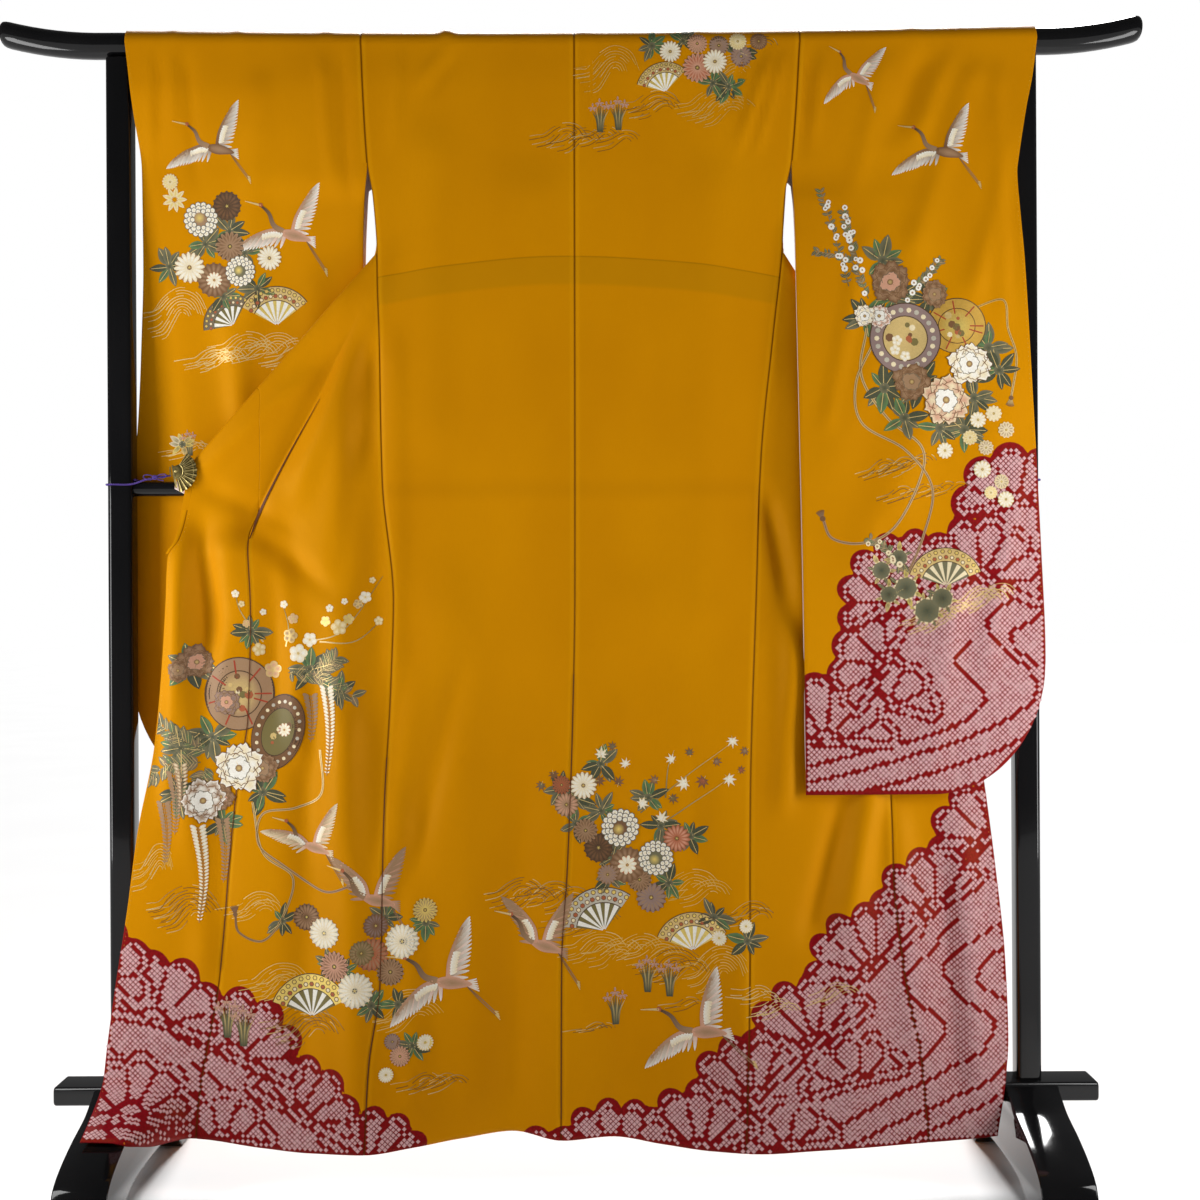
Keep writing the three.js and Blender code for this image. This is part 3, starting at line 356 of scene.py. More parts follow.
def collarGrid():
    share = np.array([0, 0.03, 0.08, 0.2, 0.35, 0.5, 0.65, 0.8, 0.92, 0.97, 1])
    width = cloth["collarWidth"]

    def bandPoint(x, drop, share):
        quarter = cloth["wrap"] * math.pi / 2
        radius = cloth["wrap"] + 0.7 * np.minimum(1, 6 * share)
        over = onRail(x, 90 + drop / quarter * 90, radius)
        down = points(x, radius, railHeight(x) - (drop - quarter))
        return np.where((drop <= quarter)[..., None], over, down)

    def halfBand(side):
        band = []
        inward = -side["sign"]
        for step in np.linspace(0.13, 0.012, 20):
            wide = lerp(12, 5, step / 0.13)
            edge = pagePoint(side, "okumi", 1.0, step)
            band.append(edge + np.outer(side["sign"] * wide * share, [1, 0, 0]))
        for turn in np.linspace(0.9, 0.1, 7):
            wide = lerp(width - 10, 14, turn)
            band.append(turnRoll(side, 1.0, turn) + np.outer(wide * share, turnAlong(side)))
        for t in rows(1, 0, 900)[1:]:
            here = swagPoint(side, 1.0, t)
            path = swagPoint(side, 1.0, min(1, t + 0.02)) - swagPoint(side, 1.0, max(0, t - 0.02))
            across = np.array([path[2] * side["sign"], 0, -path[0] * side["sign"]])
            line = here + np.outer(width * share, across / np.linalg.norm(across))
            line[:, 2] -= 27 * smooth(1 - t / 0.15) * share
            band.append(line)
        inner = side["neck"] + inward * width
        for angle in np.linspace(180, 90, 12)[1:-1]:
            drop = cloth["wrap"] * math.radians(angle - 90)
            free = lerp(57, 60, drop / (cloth["wrap"] * math.pi / 2))
            band.append(bandPoint(lerp(side["neck"], inner, share), lerp(drop, free, share), share))
        return band
    neck = []
    left, right = sides["left"]["neck"], sides["right"]["neck"]
    for at in np.linspace(0, 1, 28):
        x = lerp(lerp(left, right, at), lerp(left + width + 3, right - width - 3, at), share)
        neck.append(bandPoint(x, lerp(0.15, 55, share), share))
    return np.array(halfBand(sides["left"]) + neck + halfBand(sides["right"])[::-1])


sleeves = {
    "left": {
        "side": sides["left"], "bottom": 575, "corner": (165, 195),
        "inner": column((1698, -311), (1515, -301.5), (1465, -306.5), (1377, -310.5), (1020, -313.5),
                        (575, -313.5)),
        "outer": column((1698, -660), (1668, -656.5), (1596, -649), (1516, -640.5), (1377, -642),
                        (1250, -648), (1170, -652.5), (1020, -663), (869, -666), (575, -666)),
        "hiddenOuter": None,
        # height, depth at the inner and outer edge, gap between the layers at both
        "depth": [(1698.5, -21.3, -21.3, 42.6, 42.6), (1640, -22, -21.5, 43.5, 43), (1580, -23, -14, 44, 28),
                  (1515, -23, -1.2, 42, 2.4), (1450, -16, 4, 37, 2.4), (1383, -8, 10, 31, 2.4),
                  (1300, 0, 16, 24, 2.4), (1200, 8, 22, 18, 2.4), (1100, 15, 24.5, 14, 2.4),
                  (575, 19, 24, 14, 2.4)],
        "folds": [(-400, 1640, -370, 900, 26, 3), (-600, 1400, -560, 700, 30, 3)],
        "creases": [(-624, 1690, -628, 1490, 6.5, 1.8), (-606, 1690, -612, 1560, 6.5, -1.5),
                    (-588, 1690, -590, 1580, 6, 1.5), (-566, 1690, -560, 1500, 9, -1.6),
                    (-370, 1690, -356, 1500, 10, 1.6), (-338, 1690, -330, 1480, 7, -1.4),
                    (-460, 1640, -500, 1150, 22, 1.8), (-520, 1300, -470, 950, 20, 1.8),
                    (-630, 1300, -640, 900, 12, 1.6)],
    },
    "right": {
        "side": sides["right"], "bottom": 583, "corner": (165, 195),
        "inner": column((1698, 339), (1515, 325.5), (1436, 328), (1281, 330), (869, 336), (583, 338)),
        "outer": column((1698, 690), (1645, 683), (1592, 672), (1515, 659), (1499, 657), (1436, 661),
                        (1370, 666), (1178, 675), (942, 685), (786, 690), (583, 690)),
        "hiddenOuter": column((1698, 685), (1668, 651), (1535, 651), (1515, 659), (1499, 657), (1436, 661),
                              (1370, 666), (1178, 675), (942, 685), (786, 690), (583, 690)),
        "depth": [(1698.5, -21.3, -21.3, 42.6, 42.6), (1662, -22, -22, 43, 43.5), (1620, -23, -24, 41, 32),
                  (1570, -23.5, -28, 36, 16), (1515, -24, -31, 29, 2.4), (1450, -32, -33, 14, 2.4),
                  (1383, -39, -36, 8, 2.4), (1200, -48, -42, 10, 2.4), (1060, -52, -46, 12, 2.4),
                  (900, -56, -50, 12, 2.4), (583, -60, -54, 12, 2.4)],
        "folds": [(640, 1450, 420, 900, 34, 5), (560, 1500, 370, 1050, 30, 3.5),
                  (660, 1200, 520, 760, 34, 4)],
        "creases": [(526, 1694, 480, 1560, 16, -2.4), (566, 1690, 512, 1550, 14, 1.8),
                    (632, 1650, 636, 1280, 13, 2), (652, 1470, 656, 1320, 8, -2),
                    (352, 1690, 344, 1540, 8, -1.8), (375, 1690, 360, 1560, 9, 1.4),
                    (470, 1690, 420, 1480, 16, 1.6), (600, 1660, 500, 1380, 18, 1.8),
                    (655, 1560, 590, 1320, 14, 1.8), (430, 1400, 372, 1120, 14, 2),
                    (660, 1080, 600, 760, 16, 2), (460, 980, 400, 660, 18, -1.8),
                    (560, 900, 520, 620, 20, 1.8)],
    },
}
for sleeve in sleeves.values():
    for place, name in enumerate(("innerY", "outerY", "gapInner", "gapOuter")):
        sleeve[name] = column(*[(row[0], row[place + 1]) for row in sleeve["depth"]])


def hiddenSeam(side, z):  # the front's side edge behind the rail, at one height
    top = swagPoint(side, 0.0, 0.0)[2]
    share = np.clip((top - z) / (top - cloth["openEnd"]), 0, 1)
    return swagPoint(side, 0.0, 1 - np.sqrt(1 - share))


def sleeveBottom(sleeve, x):
    edge = abs(sleeve["outer"](sleeve["bottom"])) - np.abs(x)
    share = np.clip(1 - edge / sleeve["corner"][0], 0, 1)
    return sleeve["bottom"] + sleeve["corner"][1] * (1 - np.sqrt(1 - share ** 2))


def sleevePoint(sleeve, u, z, hidden):
    side = sleeve["side"]
    u, z = np.broadcast_arrays(np.asarray(u, float), np.asarray(z, float))
    outer = sleeve["hiddenOuter"] if hidden and sleeve["hiddenOuter"] else sleeve["outer"]
    innerX = np.where(z >= cloth["armholeEnd"], side["sideSeam"](z), sleeve["inner"](z))
    seam = hiddenSeam(side, z)
    if hidden:
        innerX = np.where(z > cloth["armholeEnd"] - 30, seam[..., 0], innerX)
    x = lerp(innerX, outer(z), u)
    y = lerp(sleeve["innerY"](z), sleeve["outerY"](z), u)
    tie = (1 - u) ** 3 * smooth((z - cloth["armholeEnd"] + 60) / 55)
    if not hidden:
        y = lerp(-cloth["wrap"], y, smooth((stand["railHeight"] - z) / 70))
        y = lerp(y, hangDepth(innerX, z), tie)
    gap = lerp(sleeve["gapInner"](z), sleeve["gapOuter"](z), u * u)
    if hidden:
        y = y + lerp(cloth["sewn"], gap, np.where(z > 900, 1, smooth((z - sleeveBottom(sleeve, x)) / 90)))
        y = lerp(y, seam[..., 1], tie)
    folded = foldDepth(sleeve["folds"], x, z) * smooth((cloth["armholeEnd"] - z) / 200) * (1 - u ** 6)
    ripple = cloth["sleeveRipple"] * rippleDepth(x * 1.1 + 40, z)
    small = (cloth["smallFolds"] * foldDepth(sleeve["creases"], x, z, 60) + ripple) * (1 - u ** 8)
    away = smooth((stand["railHeight"] - z) / 60) * smooth((z - sleeveBottom(sleeve, x)) / 60)
    return points(x, y + folded + small * away * (0.6 if hidden else 1), z)


def sleeveGrid(sleeve):
    side = sleeve["side"]
    share = shares(350)
    high = sleeve["bottom"] + sleeve["corner"][1] + 25
    lower = rows(0, 1, 230)
    footX = lerp(sleeve["inner"](sleeve["bottom"]), sleeve["outer"](sleeve["bottom"]), share)

    def layer(hidden):
        made = [sleevePoint(sleeve, share, lerp(sleeveBottom(sleeve, footX), high, step), hidden)
                for step in lower]
        for z in rows(high, stand["railHeight"], stand["railHeight"] - high)[1:-1]:
            made.append(sleevePoint(sleeve, share, z, hidden))
        return made
    over = []
    for angle in np.linspace(0, 180, 15):
        back = (sleeve["hiddenOuter"] or sleeve["outer"])(stand["railHeight"])
        edge = lerp(sleeve["outer"](stand["railHeight"]), back, angle / 180)
        over.append(onRail(lerp(side["sideSeam"](stand["railHeight"]), edge, share), angle))
    return np.array(layer(False) + over + layer(True)[::-1])


# from a grid to a piece of cloth

def gridNormals(grid):
    down = np.gradient(grid, axis=0, edge_order=2)
    across = np.gradient(grid, axis=1, edge_order=2)
    normal = np.cross(down, across)
    return normal / np.maximum(np.linalg.norm(normal, axis=2, keepdims=True), 1e-9)


def clothUv(grid):  # place on the flat cloth, in metres
    across = np.linalg.norm(np.diff(grid, axis=1), axis=2)
    down = np.linalg.norm(np.diff(grid, axis=0), axis=2)
    u = np.concatenate([np.zeros((grid.shape[0], 1)), np.cumsum(across, axis=1)], axis=1)
    v = np.concatenate([np.zeros((1, grid.shape[1])), np.cumsum(down, axis=0)], axis=0)
    return np.stack([u - u.mean(axis=1, keepdims=True), v], axis=2) * mm


def quadFaces(index):
    return np.stack([index[:-1, :-1], index[1:, :-1], index[1:, 1:], index[:-1, 1:]], axis=-1).reshape(-1, 4)


def keepValues(mesh, values):  # numbers or colours on the mesh's points
    for key, value in (values or {}).items():
        value = np.asarray(value, np.float32)
        kind, field = ("FLOAT_COLOR", "color") if value.ndim == 2 else ("FLOAT", "value")
        mesh.attributes.new(key, kind, "POINT").data.foreach_set(field, value.ravel())


def addPiece(name, mesh, node=None):  # into the scene, in place of a node where it says one
    piece = bpy.data.objects.new(name, mesh)
    bpy.context.scene.collection.objects.link(piece)
    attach(piece, "root")
    if node:
        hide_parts(node)
    return piece


def meshPiece(name, verts, faces, materials, slots=None, uv=None, values=None, node=None):
    faces = np.asarray(faces, np.int32)
    mesh = bpy.data.meshes.new(name)
    mesh.vertices.add(len(verts))
    mesh.vertices.foreach_set("co", np.asarray(verts, np.float32).ravel())
    mesh.loops.add(faces.size)
    mesh.loops.foreach_set("vertex_index", faces.ravel())
    mesh.polygons.add(len(faces))
    mesh.polygons.foreach_set("loop_start", np.arange(len(faces), dtype=np.int32) * faces.shape[1])
    for material in materials:
        mesh.materials.append(material)
    if slots is not None:
        mesh.polygons.foreach_set("material_index", np.asarray(slots, np.int32))
    mesh.update(calc_edges=True)
    if uv is not None:
        layer = mesh.uv_layers.new(name="cloth")
        layer.data.foreach_set("uv", np.asarray(uv, np.float32)[faces.ravel()].ravel())
    keepValues(mesh, values)
    mesh.validate()
    mesh.shade_smooth()
    return addPiece(name, mesh, node)


def clothPiece(name, grid, materials, towards, values, sewn, sewnAbove):
    # towards: (row, column, y) where the cloth's right side faces that way
    normal = gridNormals(grid)
    row, col, y = towards
    if normal[row, col, 1] * y < 0:
        normal = -normal
    uv = clothUv(grid)
    width = (uv[:, -1, 0] - uv[:, 0, 0])[:, None] / mm
    fromStart = (uv[..., 0] - uv[:, :1, 0]) / mm
    fromEnd = width - fromStart
    dip = np.zeros(grid.shape[:2])
    seam = np.full(grid.shape[:2], 1.0)
    for on, far in zip(sewn, (fromStart, fromEnd)):
        if on:
            dip += cloth["seamDip"] * np.exp(-(far / 2.6) ** 2)
            seam = np.minimum(seam, far * mm)
    lost = (grid[..., 0] < cloth["lostSeam"][0]) & (grid[..., 2] > cloth["lostSeam"][1]) & (grid[..., 1] < 0)
    dip = np.where(lost, 0, dip)
    values = {"seam": np.where((grid[..., 2] >= sewnAbove) & ~lost, seam, 1.0), **values}
    half = cloth["wall"] / 2
    outer = grid + normal * (half - dip)[..., None]
    inner = grid - normal * (half - 0.1)
    r, c = grid.shape[:2]
    index = np.arange(r * c).reshape(r, c)
    under = index + r * c
    faces = [quadFaces(index), quadFaces(under)[:, ::-1]]
    rims = [(index[:, 0], under[:, 0]), (index[::-1, -1], under[::-1, -1]),
            (index[0, ::-1], under[0, ::-1]), (index[-1], under[-1])]
    for a, b in rims:
        faces.append(np.stack([a[:-1], b[:-1], b[1:], a[1:]], axis=-1))
    slots = np.concatenate([np.full(len(f), 1 if i == 1 else 0) for i, f in enumerate(faces)])
    faces = np.concatenate(faces)
    flip = np.cross(grid[1, 0] - grid[0, 0], grid[0, 1] - grid[0, 0]) @ normal[0, 0] < 0
    if flip:
        faces = faces[:, ::-1]
    verts = np.concatenate([outer.reshape(-1, 3), inner.reshape(-1, 3)]) * mm
    both = {key: np.concatenate([value.reshape(-1), value.reshape(-1)]) for key, value in values.items()}
    flatUv = np.concatenate([uv.reshape(-1, 2)] * 2)
    return meshPiece(name + "_silk", verts, faces, materials, slots, flatUv, both, name)


def gridArea(grid):  # of one side of the cloth, in square metres
    down, across = np.diff(grid, axis=0), np.diff(grid, axis=1)
    first = np.linalg.norm(np.cross(down[:, :-1], across[:-1]), axis=2)
    second = np.linalg.norm(np.cross(down[:, 1:], across[1:]), axis=2)
    return float((first + second).sum()) / 2 * mm * mm


# shader writing

class Wire:  # one socket of a material being written; sums on it add Math nodes
    def __init__(self, tree, socket=None):
        self.tree = tree
        self.socket = socket

    def node(self, kind, settings=(), values=(), out=0):
        made = self.tree.nodes.new(kind)
        for key, value in dict(settings).items():
            setattr(made, key, value)
        for key, value in dict(values).items():
            if isinstance(value, Wire):
                self.tree.links.new(value.socket, made.inputs[key])
            else:
                made.inputs[key].default_value = value
        return Wire(self.tree, made.outputs[out])

    def maths(self, operation, *values):
        return self.node("ShaderNodeMath", {"operation": operation}, dict(enumerate(values)))

    def __add__(self, other):
        return self.maths("ADD", self, other)

    __radd__ = __add__

    def __sub__(self, other):
        return self.maths("SUBTRACT", self, other)

    def __rsub__(self, other):
        return self.maths("SUBTRACT", other, self)

    def __mul__(self, other):
        return self.maths("MULTIPLY", self, other)

    __rmul__ = __mul__

    def __truediv__(self, other):
        return self.maths("DIVIDE", self, other)

    def ramp(self, low, high, start=0.0, stop=1.0):  # a soft step from low to high
        values = {0: self, 1: low, 2: high, 3: start, 4: stop}
        return self.node("ShaderNodeMapRange", {"interpolation_type": "SMOOTHSTEP"}, values)

    def mix(self, first, second):  # a colour, self being the share of the second
        first, second = [v if isinstance(v, Wire) else (*v, 1) for v in (first, second)]
        return self.node("ShaderNodeMix", {"data_type": "RGBA"}, {0: self, 6: first, 7: second}, 2)

    def attribute(self, name, out=2):
        return self.node("ShaderNodeAttribute", {"attribute_name": name}, out=out)

    def place(self):
        return self.node("ShaderNodeTexCoord", out=3)

    def uv(self):
        return self.node("ShaderNodeUVMap", {"uv_map": "cloth"})

    def parts(self):  # the three parts of a vector
        made = self.node("ShaderNodeSeparateXYZ", values={0: self})
        return [Wire(self.tree, output) for output in made.socket.node.outputs]

    def stretch(self, x, y, z):
        return self.node("ShaderNodeVectorMath", {"operation": "MULTIPLY"}, {0: self, 1: (x, y, z)})

    def noise(self, scale, detail=2.0, roughness=0.5):
        values = {"Vector": self, "Scale": scale, "Detail": detail, "Roughness": roughness}
        return self.node("ShaderNodeTexNoise", {}, values)

    def bump(self, strength, distance):
        return self.node("ShaderNodeBump", {}, {"Height": self, "Strength": strength, "Distance": distance})


def material(name, paint, **fixed):
    made = bpy.data.materials.new(name)
    made.use_nodes = True
    tree = made.node_tree
    tree.nodes.clear()
    shader = tree.nodes.new("ShaderNodeBsdfPrincipled")
    output = tree.nodes.new("ShaderNodeOutputMaterial")
    tree.links.new(shader.outputs[0], output.inputs[0])
    for key, value in fixed.items():
        shader.inputs[key.replace("_", " ")].default_value = value
    for key, value in paint(Wire(tree)).items():
        tree.links.new(value.socket, shader.inputs[key])
    return made


silkLook = {
    "gold": (0.66, 0.266, 0.0010), "deep": (0.57, 0.218, 0.0008),  # the dyed ground, light and dark
    # the seams: a dark line of painted shade in each seam's groove, and a painted highlight on the cloth
    # beside it
    "thread": (0.085, 0.018, 0.0008), "seamHighlight": (0.80, 0.37, 0.004), "seamHighlightShare": 0.24,
    "crimson": (0.27, 0.0015, 0.012), "darkCrimson": (0.18, 0.001, 0.008),
    "liningTop": (0.80, 0.62, 0.56), "liningHem": (0.66, 0.17, 0.004), "liningChange": 0.62,
    # the inner lining's edge felt through the back, and a band of painted shadow where the lower bar stands
    # behind the cloth
    "yokeTop": 1.377, "yokeArch": 0.36, "yokeMiddle": 0.006, "yokeDepth": 0.041,
    "yoke": (0.40, 0.19, 0.003), "yokeShare": 0.36, "lineShare": 0.3, "railShadowHeight": 1.033, "railShadowHalf": 0.024,
    "railShadowShare": 0.07,
}


def crepe(start):  # the twisted threads of crepe silk, as a fine bump
    uv = start.uv()
    fine = uv.stretch(900, 520, 1).noise(1.0, 2.0, 0.6)
    slub = uv.stretch(40, 160, 1).noise(1.0, 3.0, 0.55)
    return fine * 0.7 + slub * 0.5


def silkPaint(start, yoke=False):
    uv = start.uv()
    cloudy = uv.stretch(1, 0.5, 1).noise(4.0, 3.0, 0.5)
    ground = cloudy.ramp(0.2, 0.8).mix(silkLook["deep"], silkLook["gold"])
    threads = uv.stretch(420, 60, 1).noise(1.0, 2.0)
    ground = threads.ramp(0.35, 0.75, 0.0, 0.16).mix(ground, silkLook["deep"])
    if yoke:
        x, _, z = start.place().parts()
        off = x - silkLook["yokeMiddle"]
        below = silkLook["yokeTop"] - off * off * silkLook["yokeArch"] - z
        depth = silkLook["yokeDepth"]
        band = below.ramp(-0.001, 0.001) * below.ramp(depth + 0.004, depth - 0.004)
        ground = (band * silkLook["yokeShare"]).mix(ground, silkLook["yoke"])
        line = below.ramp(-0.0016, 0.0) * below.ramp(0.0022, 0.0)
        ground = (line * silkLook["lineShare"]).mix(ground, silkLook["thread"])
        # a faint band of painted shadow where the lower bar stands behind the back
        height = z - silkLook["railShadowHeight"]
        bar = height.ramp(-silkLook["railShadowHalf"], 0.0) * height.ramp(silkLook["railShadowHalf"], 0.0)
        ground = (bar * silkLook["railShadowShare"]).mix(ground, silkLook["thread"])
    dyed = uv.noise(260.0, 2.0).ramp(0.3, 0.7).mix(silkLook["darkCrimson"], silkLook["crimson"])
    seam = start.attribute("seam")
    # a painted highlight on the cloth just beside each seam
    seamHighlightMask = seam.ramp(0.0095, 0.0045) * seam.ramp(0.0018, 0.0034)
    ground = (seamHighlightMask * silkLook["seamHighlightShare"]).mix(ground, silkLook["seamHighlight"])
    inZone = start.attribute("zone").ramp(-0.0006, 0.0006)
    colour = inZone.mix(ground, dyed)
    # a dark line of painted shade along each seam, in the groove where the two pieces meet (its colour kept
    # as thread)
    sewn = seam.ramp(0.0020, 0.0005, 0.0, 0.78)
    rough = uv.noise(60.0, 3.0).ramp(0.2, 0.8, 0.42, 0.52)
    return {"Base Color": sewn.mix(colour, silkLook["thread"]), "Roughness": rough,
            "Normal": crepe(start).bump(0.3, 0.0004)}


def inkPaint(start):  # dye and gold leaf, the colour kept in the mesh
    where = start.place()
    shine = start.attribute("ink", 3)
    worn = where.noise(300.0, 3.0).ramp(0.36, 0.62, 0.55, 1.0)
    dust = where.noise(500.0, 2.0).ramp(0.3, 0.7, 0.0, 0.14)
    colour = dust.mix(start.attribute("ink", 0), (0.30, 0.16, 0.02))
    return {"Base Color": colour, "Metallic": shine * worn * 0.8,
            "Roughness": shine.ramp(0.0, 1.0, 0.55, 0.30),
            "Normal": where.noise(900.0, 2.0).bump(0.25, 0.0003)}


def liningPaint(start):
    height = start.place().parts()[2]
    low = height.ramp(silkLook["liningChange"] + 0.004, silkLook["liningChange"] - 0.004)
    colour = low.mix(silkLook["liningTop"], silkLook["liningHem"])
    rough = start.uv().noise(50.0, 2.0).ramp(0.2, 0.8, 0.42, 0.52)
    return {"Base Color": colour, "Roughness": rough, "Normal": crepe(start).bump(0.2, 0.0003)}


def lacquerPaint(start):
    where = start.place()
    dust = where.noise(700.0, 2.0).ramp(0.55, 0.8, 0.09, 0.16)
    depth = where.stretch(1, 1, 0.25).noise(9.0, 3.0)
    colour = depth.ramp(0.3, 0.7).mix((0.0035, 0.0035, 0.004), (0.007, 0.0068, 0.0072))
    return {"Base Color": colour, "Roughness": dust, "Normal": where.noise(28.0, 1.0).bump(0.03, 0.002)}


def bronzePaint(start):
    where = start.place()
    worn = where.noise(160.0, 3.0).ramp(0.4, 0.7)
    high = start.attribute("edge")
    colour = high.mix(worn.mix((0.055, 0.040, 0.010), (0.16, 0.12, 0.035)), (0.62, 0.50, 0.20))
    return {"Base Color": colour, "Roughness": where.noise(240.0, 2.0).ramp(0.3, 0.7, 0.3, 0.5),
            "Normal": where.noise(500.0, 2.0).bump(0.3, 0.0003)}


def braidPaint(start):
    where = start.place()
    colour = where.noise(900.0, 1.0).ramp(0.3, 0.7).mix((0.022, 0.005, 0.12), (0.075, 0.02, 0.30))
    return {"Base Color": colour, "Roughness": where.noise(600.0, 1.0).ramp(0.3, 0.7, 0.6, 0.75),
            "Normal": where.noise(1500.0, 1.0).bump(0.5, 0.0003)}


goldTint = (1.0, 0.6, 0.02, 1)
silk = material("goldSilk", silkPaint, Specular_IOR_Level=0.22, Specular_Tint=goldTint)
backSilk = material("goldSilkBack", lambda start: silkPaint(start, True), Specular_IOR_Level=0.22,
                    Specular_Tint=goldTint)
lining = material("liningSilk", liningPaint, Specular_IOR_Level=0.25)
ink = material("paintedSilk", inkPaint, Specular_IOR_Level=0.3)
lacquer = material("blackLacquer", lacquerPaint, Specular_IOR_Level=0.2, Coat_Weight=0.2, Coat_Roughness=0.03)
bronze = material("darkBronze", bronzePaint, Metallic=0.85)
braid = material("purpleBraid", braidPaint, Sheen_Weight=0.2)
print("materials made")


# what is painted on the silk

def linear(r, g, b, shine=0.0):  # screen colour to light, shine for gold leaf
    return np.array([(c / 255 / 12.92) if c < 10.3 else ((c / 255 + 0.055) / 1.055) ** 2.4
                     for c in (r, g, b)] + [shine])


inks = {
    "white": linear(246, 243, 232), "cream": linear(240, 224, 184), "gold": linear(240, 212, 116, 0.7),
    "paleGold": linear(226, 196, 128, 0.5), "taupe": linear(164, 130, 98), "brown": linear(118, 82, 54),
    "darkBrown": linear(74, 52, 36), "rust": linear(176, 92, 58), "rose": linear(214, 160, 132),
    "mauve": linear(142, 120, 116), "leaf": linear(62, 72, 54), "greyLeaf": linear(112, 110, 84),
    "green": linear(88, 128, 80), "olive": linear(118, 108, 62), "wave": linear(128, 84, 20, 0.2),
    "waveGold": linear(222, 176, 80, 0.6), "red": linear(170, 60, 40), "silver": linear(196, 190, 172, 0.3),
    "ash": linear(112, 104, 84),
    # sewn: the dark lines of painted shade drawn along the seams and in the deep fold
    "sewn": linear(84, 34, 4),
}


painting = {  # in millimetres: how far over the silk, from one layer of dye to the next, and the longest side
    "lift": 0.3, "layer": 0.035, "largest": 6,
    "waveLine": 4.1,   # from one line of a wave to the next
}


def flow(path, count):  # a smooth line through a few points
    path = np.asarray(path, float)
    ends = np.vstack([2 * path[0] - path[1], path, 2 * path[-1] - path[-2]])
    out = []
    for t in np.linspace(0, len(path) - 1, count):
        i = min(int(t), len(path) - 2)
        s = t - i
        a, b, c, d = ends[i:i + 4]
        curved = (2 * a - 5 * b + 4 * c - d) * s * s
        out.append(0.5 * (2 * b + (c - a) * s + curved + (3 * b - a - 3 * c + d) * s ** 3))
    return np.array(out)


class Brush:  # gathers painted shapes, in millimetres on the front view
    def __init__(self):
        self.verts, self.faces, self.inks, self.lifts = [], [], [], []
        self.count = 0
        self.move(0, 0)

    def move(self, x, z, turn=0, flip=False, lift=0.0):
        self.x, self.z, self.flip, self.lift = x, z, -1 if flip else 1, lift
        self.turn = math.radians(turn)
        return self

    def add(self, local, faces, colours, layer):
        across, up = np.asarray(local, float).T
        across = across * self.flip
        c, s = math.cos(self.turn), math.sin(self.turn)
        spot = np.stack([self.x + c * across - s * up, self.z + s * across + c * up], axis=1)
        faces = np.asarray(faces)
        self.verts.append(spot)
        self.faces.append((faces[:, ::-1] if self.flip < 0 else faces) + self.count)
        self.inks.append(colours)
        self.lifts.append(np.full(len(local), self.lift + layer * painting["layer"]))
        self.count += len(local)

    def blob(self, outline, inner, outer=None, layer=0, rings=2, centre=None):
        outline = np.asarray(outline, float)
        inner, outer = inks[inner], inks[outer or inner]
        n = len(outline)
        middle = outline.mean(axis=0) if centre is None else np.asarray(centre, float)
        local, colours = [middle], [inner]
        for r in range(1, rings + 1):
            local.extend(middle + (outline - middle) * r / rings)
            colours.extend([lerp(inner, outer, (r / rings) ** 1.5)] * n)
        k = np.arange(n)
        after = (k + 1) % n
        faces = [np.stack([np.zeros(n, int), 1 + k, 1 + after], axis=1)]
        for r in range(1, rings):
            a, b = 1 + (r - 1) * n, 1 + r * n
            faces += [np.stack([a + k, b + k, b + after], axis=1),
                      np.stack([a + k, b + after, a + after], axis=1)]
        self.add(local, np.concatenate(faces), np.array(colours), layer)

    def line(self, path, width, start, stop=None, layer=0):
        path = np.asarray(path, float)
        step = np.gradient(path, axis=0)
        side = np.stack([-step[:, 1], step[:, 0]], axis=1)
        side /= np.maximum(np.linalg.norm(side, axis=1, keepdims=True), 1e-9)
        half = np.broadcast_to(np.asarray(width, float), len(path))[:, None] / 2
        local = np.concatenate([path + side * half, path - side * half])
        n = len(path)
        k = np.arange(n - 1)
        faces = np.concatenate([np.stack([k, k + n, k + n + 1], axis=1),
                                np.stack([k, k + n + 1, k + 1], axis=1)])
        share = np.linspace(0, 1, n)[:, None]
        colours = lerp(inks[start], inks[stop or start], share)
        self.add(local, faces, np.concatenate([colours, colours]), layer)

    def disc(self, x, z, radius, inner, outer=None, layer=0, sides=12, rings=1, tall=1.0):
        turn = np.linspace(0, 2 * math.pi, sides, endpoint=False)
        outline = np.stack([x + radius * np.cos(turn), z + radius * tall * np.sin(turn)], axis=1)
        self.blob(outline, inner, outer, layer, rings)

    def petal(self, angle, near, far, wide, inner, outer, layer):  # widest towards its tip
        t = np.linspace(0, 1, 6)
        along = lerp(near, far, t)
        half = wide / 2 * np.sin(np.pi * np.clip(t * 0.82 + 0.09, 0, 1)) ** 0.6 * (0.55 + 0.6 * t)
        half[-1] = half[-2] * 0.45
        outline = np.concatenate([np.stack([along, half], axis=1),
                                  np.stack([along[::-1], -half[::-1]], axis=1)])
        c, s = math.cos(angle), math.sin(angle)
        turned = outline @ np.array([[c, s], [-s, c]])
        self.blob(turned, inner, outer, layer, 1, np.array([c, s]) * lerp(near, far, 0.55))


